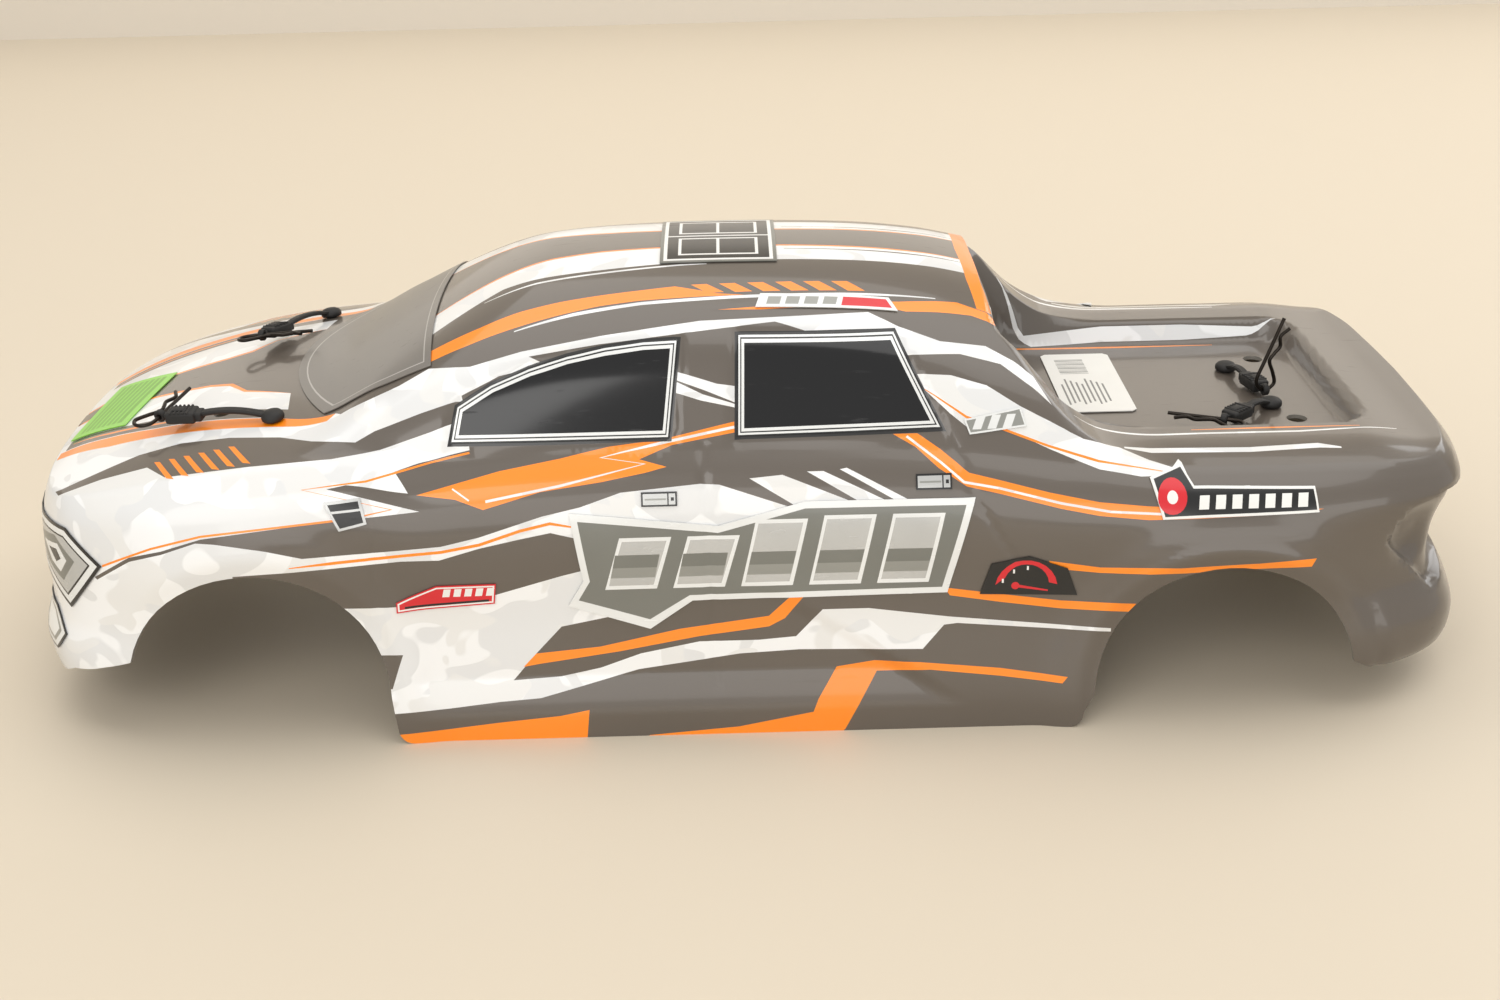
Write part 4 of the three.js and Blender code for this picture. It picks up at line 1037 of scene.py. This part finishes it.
side_pair("front_door_handle", "silver_film", handle(-29, 92), spacing=1.6)
side_pair("rear_door_handle", "silver_film", handle(71, 95.5), spacing=1.6)
VENT = [(-150, 95), (-137, 96), (-135, 87), (-145, 85)]
side_pair("fender_vent_badge", "black_film", [
    ("silver", VENT), ("black", widened(VENT, -0.9)),
    ("silver", [(-147.5, 92), (-136.6, 92.6), (-136.6, 91.8), (-147, 91.2)])], spacing=1.6)


def slanted(x, z0, z1, width, lean):
    """One slanted bar standing between two heights."""
    return [(x, z0), (x + width, z0), (x + width + lean, z1), (x + lean, z1)]


EMBLEM = [(-64, 52), (-58, 62), (-62, 88), (-8, 82), (24, 90), (86, 90), (76, 54), (-18, 53), (-34, 42)]
emblem = [("bright", EMBLEM),
          ("shade", [(-60, 54.5), (-55.5, 62), (-59, 85), (-8, 79.5), (24, 87.6), (82.6, 87.6),
                             (74, 56.4), (-19, 55.4), (-34, 46)])]
for k in range(5):
    x, top_z = -50 + 25 * k, (78.5, 78.5, 84, 85, 85)[k]
    emblem += [("bright", slanted(x, 58.5, top_z, 19, 6)),
               ("silver", slanted(x + 1.5, 60, top_z - 1.4, 16.3, 5.4)),
               ("steel", slanted(x + 1.5, 60, 72, 16.3, 2.7)),
               ("shade", slanted(x + 3.1, 67, 72, 16.3, 1.1)),
               ("silver", slanted(x + 1.5, 60, 63, 16.3, 0.7))]
side_pair("door_emblem", "silver_film", emblem, thickness=BADGE, rounded=True, spacing=2.2)
QUARTER = [(83, 114), (104, 117), (106, 111), (85, 109)]
side_pair("quarter_badge", "silver_film", [
    ("bright", QUARTER), ("steel", widened(QUARTER, -0.6)),
    *[("bright", slanted(x, 110.6, 115, 3.2, 2.0)) for x in (86, 91.5, 97)]], spacing=1.6)
REAR_BADGE = [(150, 94), (162, 97), (166, 91), (210, 90), (211, 82), (154, 81)]
side_pair("rear_fender_badge", "red_film", [
    ("white", REAR_BADGE), ("black", widened(REAR_BADGE, -0.9)),
    ("red", ring(157.5, 88, 5.4)), ("white", ring(157.5, 88, 2.0, 16)),
    *[("white", slanted(x, 84, 88.2, 3.6, 0.6)) for x in range(167, 206, 6)]],
    thickness=BADGE, rounded=True, spacing=1.8)
FRONT_BADGE = [(-127, 56), (-112, 62), (-90, 62), (-91, 54), (-127, 52)]
side_pair("front_fender_badge", "red_film", [
    ("red", FRONT_BADGE), ("white", widened(FRONT_BADGE, -0.5)),
    ("red", widened(FRONT_BADGE, -1.1)),
    *[("white", slanted(x, 57.4, 60.6, 2.6, 0.8)) for x in (-110, -106, -102, -98, -94)],
    ("black", [(-124, 53.4), (-93, 55), (-93, 55.9), (-124, 54.3)])], spacing=1.6)
DIAL = [(88, 53), (92, 65), (106, 68), (120, 63), (124, 52)]


def arc(cx, cz, r, start, end, steps=12):
    angles = np.radians(np.linspace(start, end, steps))
    return [(cx + r * math.cos(a), cz + r * math.sin(a)) for a in angles]


side_pair("gauge_badge", "red_film", [
    ("black", DIAL),
    ("red", [*arc(105, 55, 11.5, 8, 172), *arc(105, 56.5, 8.4, 160, 6)]),
    ("red", [*arc(101, 56.2, 1.5, 0, 330)]),
    ("red", [(101, 56.8), (113, 54.4), (113, 53.8), (101, 55.6)]),
    *[("white", slanted(x, z, z + 1.6, 0.7, 0)) for x, z in ((96, 57.4), (100, 61.2), (105, 62.6))]],
    spacing=1.6)
ROOF_BADGE = [(10, 49), (58, 50), (61, 56), (8, 55.5)]
for hand, side in (("left", "near"), ("right", "far")):
    sticker(f"film_roof_badge_{hand}", f"roof_badge_{hand}", "red_film", [
        ("bright", ROOF_BADGE),
        *[("steel", [(x, 50.6), (x + 5, 50.7), (x + 4, 54.4), (x - 1, 54.3)]) for x in (13, 20, 27, 34)],
        ("red", [(41, 50.6), (57, 51), (59, 55), (40, 54.8)])], side=side, plane="plan", spacing=1.8)

# ---- labels ----
# A dark roof plate with white frames, a white stock label in the bed and a clear green one on
# the hood, printed with plain bars.
def box_of(x0, x1, y0, y1):
    return [(x0, y0), (x1, y0), (x1, y1), (x0, y1)]


plate = [("shade", box_of(-28, 17, -28, 28)), ("white", box_of(-26.6, 15.6, -26.6, 26.6)),
         ("black", box_of(-25.2, 14.2, -25.2, 25.2))]
for y0, y1 in ((-22, -3), (3, 22)):
    plate += [("white", box_of(-21, 10, y0, y1)), ("black", box_of(-19.8, 8.8, y0 + 1.2, y1 - 1.2)),
              ("white", box_of(-6.2, -5, y0 + 1.2, y1 - 1.2))]
plate.append(("white", box_of(-25.2, 14.2, -0.6, 0.6)))
sticker("film_roof_plate", "roof_plate_decal", "black_film", plate, side="top")
vinyl["paper"] = toned("label_paper", "ecebe6", "e2e0da", 45.0, 0.55, peel=0.8, bump=0.1)
vinyl["print"] = toned("label_print", "8f8e8a", "7c7b78", 90.0, 0.6)
stock = [("paper", [(134, -23), (159, -23), (161, -21), (161, 42), (159, 44), (134, 44), (132, 42),
                            (132, -21)])]
for k in range(9):
    stock.append(("print", box_of(152 - 2.1 * k, 152.8 - 2.1 * k, -12 - 1.5 * (k % 3), 8 + 2 * (k % 4))))
for k in range(12):
    stock.append(("print", box_of(137, 149, 20 + 1.5 * k, 20 + 1.5 * k + (0.5, 0.9, 0.6)[k % 3])))
sticker("film_bed_label", "bed_label", "white_label", stock, side="top", spacing=3.0)
vinyl["lime"] = toned("label_lime", "95d65a", "86ca4a", 30.0, 0.4, coat=0.2)
vinyl["lime_print"] = toned("label_lime_print", "84b558", "7aa950", 60.0, 0.5)
HOOD_LABEL = [(-264, -29), (-239, -37), (-231, 13), (-258, 22)]
hood_print = [("lime_print", widened(HOOD_LABEL, -3.2))]
for k in range(7):
    a, b = 0.14 + 0.11 * k, 0.18 + 0.11 * k
    near_line = [(-262.5 + 22 * v, -27 - 7 * v) for v in (a, b)]
    far_line = [(-257 + 24.5 * v, 18.5 - 8 * v) for v in (a, b)]
    hood_print.append(("lime", [near_line[0], near_line[1], far_line[1], far_line[0]]))
sticker("film_hood_label", "hood_label", "green_label", [("lime", HOOD_LABEL), *hood_print],
        side="top", spacing=3.0)

# ---- rubber clip tethers ----
# Moulded rubber: a domed button on a stem through the shell, a flat button under it, a curved
# strap, and a ribbed holder with an eye that grips the clip. Each turns about its stem.
rubber = toned("moulded_rubber", "171615", "23211f", 60.0, 0.62, peel=1.0, bump=0.3, scuffs=0.06)
joints = {j["name"]: j for j in frame["joints"]}
MM = 0.001


def turned_part(outline, steps=32):
    """A closed lathe part from (radius, height) points that start and end on its axis."""
    points, faces = [], []
    n = len(outline) - 2
    points.append((0, 0, outline[0][1]))
    for k in range(steps):
        a = 2 * math.pi * k / steps
        points += [(r * math.cos(a), r * math.sin(a), z) for r, z in outline[1:-1]]
    points.append((0, 0, outline[-1][1]))
    last = len(points) - 1
    for k in range(steps):
        here, there = 1 + k * n, 1 + ((k + 1) % steps) * n
        faces.append((0, there, here))
        faces += [(here + i, there + i, there + i + 1, here + i + 1) for i in range(n - 1)]
        faces.append((last, here + n - 1, there + n - 1))
    return points, faces


def swept_part(path, section):
    """A closed sweep of a section, (across, up) points at each path point, in the XZ plane."""
    path = np.array(path, float)
    along = np.gradient(path, axis=0)
    along /= np.linalg.norm(along, axis=1)[:, None]
    points, faces = [], []
    for p, t in zip(path, along):
        up = np.array((-t[2], 0, t[0]))
        points += [tuple(p + np.array((0, a, 0)) + up * b) for a, b in section]
    n, m = len(section), len(path)
    for k in range(m - 1):
        for i in range(n):
            j = (i + 1) % n
            faces.append((k * n + i, k * n + j, (k + 1) * n + j, (k + 1) * n + i))
    faces.append(tuple(range(n))[::-1])
    faces.append(tuple((m - 1) * n + i for i in range(n)))
    return points, faces


def rounded_block(size, at, bevel, segments=3):
    """A box with rounded edges."""
    bm = bmesh.new()
    bmesh.ops.create_cube(bm, size=1.0)
    bmesh.ops.scale(bm, vec=size, verts=bm.verts)
    bmesh.ops.bevel(bm, geom=bm.edges[:], offset=bevel, segments=segments, affect="EDGES", profile=0.5)
    bmesh.ops.translate(bm, vec=at, verts=bm.verts)
    points = [tuple(v.co) for v in bm.verts]
    faces = [tuple(v.index for v in f.verts) for f in bm.faces]
    bm.free()
    return points, faces


def moved(part, angle=0.0, about="Z", shift=(0, 0, 0)):
    """A part turned about an axis and then shifted."""
    turn = Matrix.Translation(shift) @ Matrix.Rotation(angle, 4, about)
    return [tuple(turn @ Vector(p)) for p in part[0]], part[1]


def gathered(parts):
    """Several parts as one."""
    points, faces = [], []
    for p, f in parts:
        faces += [tuple(i + len(points) for i in face) for face in f]
        points += p
    return points, faces


def finished(mesh, made_of, sharp):
    """Turns the faces outwards and rounds the shading up to a sharp angle."""
    bm = bmesh.new()
    bm.from_mesh(mesh)
    bmesh.ops.recalc_face_normals(bm, faces=bm.faces)
    bm.to_mesh(mesh)
    bm.free()
    if made_of:
        mesh.materials.append(made_of)
    mesh.polygons.foreach_set("use_smooth", np.ones(len(mesh.polygons), bool))
    mesh.set_sharp_from_angle(angle=math.radians(sharp))
    return mesh


HOLDER = (12.0, 7.5, 4.6)
EYE = {"wire": 1.1, "outer": 2.4, "length": 2.4}
TETHERS = {
    "front_left": {"strap": 36, "lift": 0.4, "eye_turn": -0.14, "held": "leg", "way": -1},
    "front_right": {"strap": 36, "lift": 0.4, "eye_turn": 0.35, "held": "leg", "way": 1},
    "rear_left": {"strap": 24, "lift": 1.4, "eye_turn": 0.45, "held": "leg", "way": -1},
    "rear_right": {"strap": 24, "lift": 0.8, "eye_turn": 0.0, "held": "loop", "way": 1},
}
FLOAT = 0.5
STRAP_ARCH = 8.0
HALF_WIDTH, HALF_THICK, SOFT_EDGE = 1.7, 0.9, 0.5


def eye_centre(t):
    """The middle of a tether's eye in the tether's own frame."""
    return t["strap"] + HOLDER[0] / 2 + EYE["outer"] + 0.6, 0, FLOAT + t["lift"] + HOLDER[2] / 2


def tether_place(corner):
    """The tether's own frame: Z out of the shell along its stem, X towards its eye."""
    swivel, flip = joints[f"{corner}_tether_swivel"], joints[f"{corner}_clip_flip"]
    up = Vector(swivel["axis"]).normalized()
    reach = Vector(flip["pos_m"]) - Vector(swivel["pos_m"])
    x = (reach - up * reach.dot(up)).normalized()
    y = up.cross(x)
    place = Matrix((x, y, up)).transposed().to_4x4()
    place.translation = Vector(swivel["pos_m"])
    return place


def tether_parts(t):
    """Button, stem, keeper, strap, holder and eye of one tether: points and faces."""
    strap, lift, base = t["strap"], t["lift"], FLOAT
    start = strap - HOLDER[0] / 2
    eye_x, _, mid = eye_centre(t)
    button = turned_part([(0, base), (3.9, base), (4.3, base + 0.4), (4.4, base + 1.2), (4.2, base + 2.1),
                          (3.5, base + 2.9), (2.2, base + 3.5), (0, base + 3.7)])
    stem = turned_part([(0, -4.0), (1.9, -4.0), (2.0, base + 0.4), (0, base + 0.4)])
    keeper = turned_part([(0, -3.7), (3.3, -3.7), (3.8, -3.2), (3.8, -2.5), (3.5, -2.1), (0, -2.1)])
    z = base + 1.3
    steps = np.linspace(0, 1, 15)
    strap_path = [(2 + (start - 1) * s, 0, z + 0.4 + STRAP_ARCH * s * (1 - s) + (lift + 0.5) * s)
                  for s in steps]
    flat_x, flat_z = HALF_WIDTH - SOFT_EDGE, HALF_THICK - SOFT_EDGE
    section = [(-HALF_WIDTH, -flat_z), (-flat_x, -HALF_THICK), (flat_x, -HALF_THICK), (HALF_WIDTH, -flat_z),
               (HALF_WIDTH, flat_z), (flat_x, HALF_THICK), (-flat_x, HALF_THICK), (-HALF_WIDTH, flat_z)]
    parts = [button, stem, keeper, swept_part(strap_path, section),
             rounded_block(HOLDER, (strap, 0, mid), 1.1),
             rounded_block((3.4, HOLDER[1] * 0.72, HOLDER[2] * 0.8), (start - 0.8, 0, mid - 0.1), 0.8),
             rounded_block((5.0, 3.0, 1.0), (strap + 1, 0, mid + HOLDER[2] / 2 + 0.1), 0.4)]
    half_eye = EYE["length"] / 2
    bore, rim = EYE["wire"] + 0.05, EYE["outer"]
    hoop = [(bore, -half_eye), (rim - 0.4, -half_eye), (rim, -half_eye + 0.4),
            (rim, half_eye - 0.4), (rim - 0.4, half_eye), (bore, half_eye)]
    points, faces, n, around = [], [], len(hoop), 28
    for k in range(around):
        a = 2 * math.pi * k / around
        points += [(r * math.cos(a), h, r * math.sin(a)) for r, h in hoop]
        nxt = ((k + 1) % around) * n
        faces += [(k * n + i, k * n + (i + 1) % n, nxt + (i + 1) % n, nxt + i) for i in range(n)]
    parts.append(moved((points, faces), t["eye_turn"], "Z", (eye_x, 0, mid)))
    neck = EYE["outer"] - EYE["wire"] + 1.4
    parts.append(rounded_block((neck, EYE["length"] * 0.8, 2.4),
                               (eye_x - EYE["wire"] - 0.1 - neck / 2, 0, mid), 0.5))
    return gathered(parts)


# Grip ribs across the holder: one rounded rib repeated along a line.
def rib_tree():
    tree, given, out = new_tree("grip_ribs", {
        "Geometry": ("Geometry",), "Ribs": ("Int", 5), "Spacing": ("Float", 0.0017),
        "Rib length": ("Float", 0.0072), "Rib radius": ("Float", 0.0004), "Rubber": ("Material",)},
        {"Geometry": "Geometry"}, "GeometryNodeTree")
    step = node(tree, "ShaderNodeCombineXYZ", {0: given.outputs["Spacing"]})
    line = node(tree, "GeometryNodeMeshLine", {"Count": given.outputs["Ribs"], "Offset": step.outputs[0]})
    rib = node(tree, "GeometryNodeMeshCylinder", {"Vertices": 12, "Radius": given.outputs["Rib radius"],
                                                 "Depth": given.outputs["Rib length"]})
    lay = node(tree, "GeometryNodeTransform", {"Geometry": rib.outputs["Mesh"],
                                               "Rotation": (math.pi / 2, 0, 0)})
    copies = node(tree, "GeometryNodeInstanceOnPoints", {"Points": line.outputs[0],
                                                         "Instance": lay.outputs[0]})
    real = node(tree, "GeometryNodeRealizeInstances", {"Geometry": copies.outputs[0]})
    coat = node(tree, "GeometryNodeSetMaterial", {"Geometry": real.outputs[0],
                                                  "Material": given.outputs["Rubber"]})
    tree.links.new(coat.outputs[0], out.inputs["Geometry"])
    return tree


def grown(carrier, tree, values):
    """The plain mesh that a tree makes on a carrier object, which is then removed."""
    modifier = carrier.modifiers.new("grow", "NODES")
    modifier.node_group = tree
    for item in tree.interface.items_tree:
        if item.item_type == "SOCKET" and item.in_out == "INPUT" and item.name in values:
            modifier[item.identifier] = values[item.name]
    bpy.context.view_layer.update()
    mesh = bpy.data.meshes.new_from_object(carrier.evaluated_get(bpy.context.evaluated_depsgraph_get()))
    data = carrier.data
    bpy.data.objects.remove(carrier)
    (bpy.data.meshes if isinstance(data, bpy.types.Mesh) else bpy.data.curves).remove(data)
    return mesh


RIBS, RIB_SPACING = 5, 1.7
rib_mesh = grown(linked("rib_carrier", bpy.data.meshes.new("rib_carrier")), rib_tree(), {
    "Ribs": RIBS, "Spacing": RIB_SPACING * MM, "Rib length": (HOLDER[1] - 0.5) * MM, "Rib radius": 0.5 * MM,
    "Rubber": rubber})
rib_part = ([tuple(v.co / MM) for v in rib_mesh.vertices], [tuple(p.vertices) for p in rib_mesh.polygons])
for corner, t in TETHERS.items():
    first = t["strap"] - RIB_SPACING * (RIBS - 1) / 2
    top_z = FLOAT + t["lift"] + HOLDER[2] - 0.1
    points, faces = gathered([tether_parts(t), moved(rib_part, shift=(first, 0, top_z))])
    place = tether_place(corner)
    mesh = bpy.data.meshes.new(f"tether_{corner}")
    mesh.from_pydata([tuple(place @ (Vector(p) * MM)) for p in points], [], faces)
    tether = linked(f"rubber_tether_{corner}", finished(mesh, rubber, 42))
    claim(tether, f"clip_tether_{corner}", f"tether_{corner}")

# ---- wire body clips ----
# Sprung steel wire, blacked: a straight leg, a round loop, and a waved leg that pinches a post.
blacked = toned("blacked_wire", "1d1a17", "37302a", 120.0, 0.32, metallic=0.75, scuffs=0.2, peel=0.2)
WIRE, LOOP, LEG = 0.75, 4.2, 26.0
CLIP_LEAN = 0.38


def wire_tree():
    """Sweeps a round wire along a curve and closes its ends."""
    tree, given, out = new_tree("bent_wire", {
        "Geometry": ("Geometry",), "Wire radius": ("Float", WIRE * MM), "Facets": ("Int", 12),
        "Metal": ("Material",)}, {"Geometry": "Geometry"}, "GeometryNodeTree")
    round_section = node(tree, "GeometryNodeCurvePrimitiveCircle", {
        "Resolution": given.outputs["Facets"], "Radius": given.outputs["Wire radius"]})
    sweep = node(tree, "GeometryNodeCurveToMesh", {
        "Curve": given.outputs["Geometry"], "Profile Curve": round_section.outputs[0], "Fill Caps": True})
    real = node(tree, "GeometryNodeRealizeInstances", {"Geometry": sweep.outputs[0]})
    coat = node(tree, "GeometryNodeSetMaterial", {"Geometry": real.outputs[0],
                                                  "Material": given.outputs["Metal"]})
    tree.links.new(coat.outputs[0], out.inputs["Geometry"])
    return tree


def clip_path():
    """The clip's wire in its own plane: straight leg, loop, waved leg."""
    pinch = 2 * WIRE + 0.5
    loop = [(LOOP * math.cos(a), LOOP + LOOP * math.sin(a))
            for a in [-math.pi / 2 - k * math.pi / 6 for k in range(7)]]
    wave = [(0.9, LOOP * 1.35), (1.9, pinch), (2.7, pinch * 1.35), (3.5, pinch * 1.9), (4.4, pinch),
            (5.4, pinch * 2.2)]
    return [(LEG, 0), (LEG * 0.6, 0), (LEG * 0.25, 0), *loop, *[(a * LOOP, b) for a, b in wave]]


bent_wire = wire_tree()
plane_path = centripetal(clip_path(), 7)
for corner, t in TETHERS.items():
    cos, sin = math.cos(CLIP_LEAN), math.sin(CLIP_LEAN)
    if t["held"] == "loop":
        path = [(0, (v - LOOP) * cos + u * sin, u * cos - (v - LOOP) * sin + LOOP) for u, v in plane_path]
    else:
        path = [(v, t["way"] * (u - LOOP), 0) for u, v in plane_path]
    place = (tether_place(corner) @ Matrix.Translation(Vector(eye_centre(t)) * MM)
             @ Matrix.Rotation(t["eye_turn"], 4, "Z"))
    curve = bpy.data.curves.new("wire_path", "CURVE")
    curve.dimensions = "3D"
    spline = curve.splines.new("POLY")
    spline.points.add(len(path) - 1)
    for point, p in zip(spline.points, path):
        point.co = (*(place @ (Vector(p) * MM)), 1)
    mesh = grown(linked("wire_carrier", curve), bent_wire, {
        "Wire radius": WIRE * MM, "Facets": 12, "Metal": blacked})
    mesh.name = f"wire_clip_{corner}"
    clip = linked(f"wire_clip_{corner}", finished(mesh, None, 50))
    claim(clip, f"body_clip_{corner}", f"clip_{corner}")
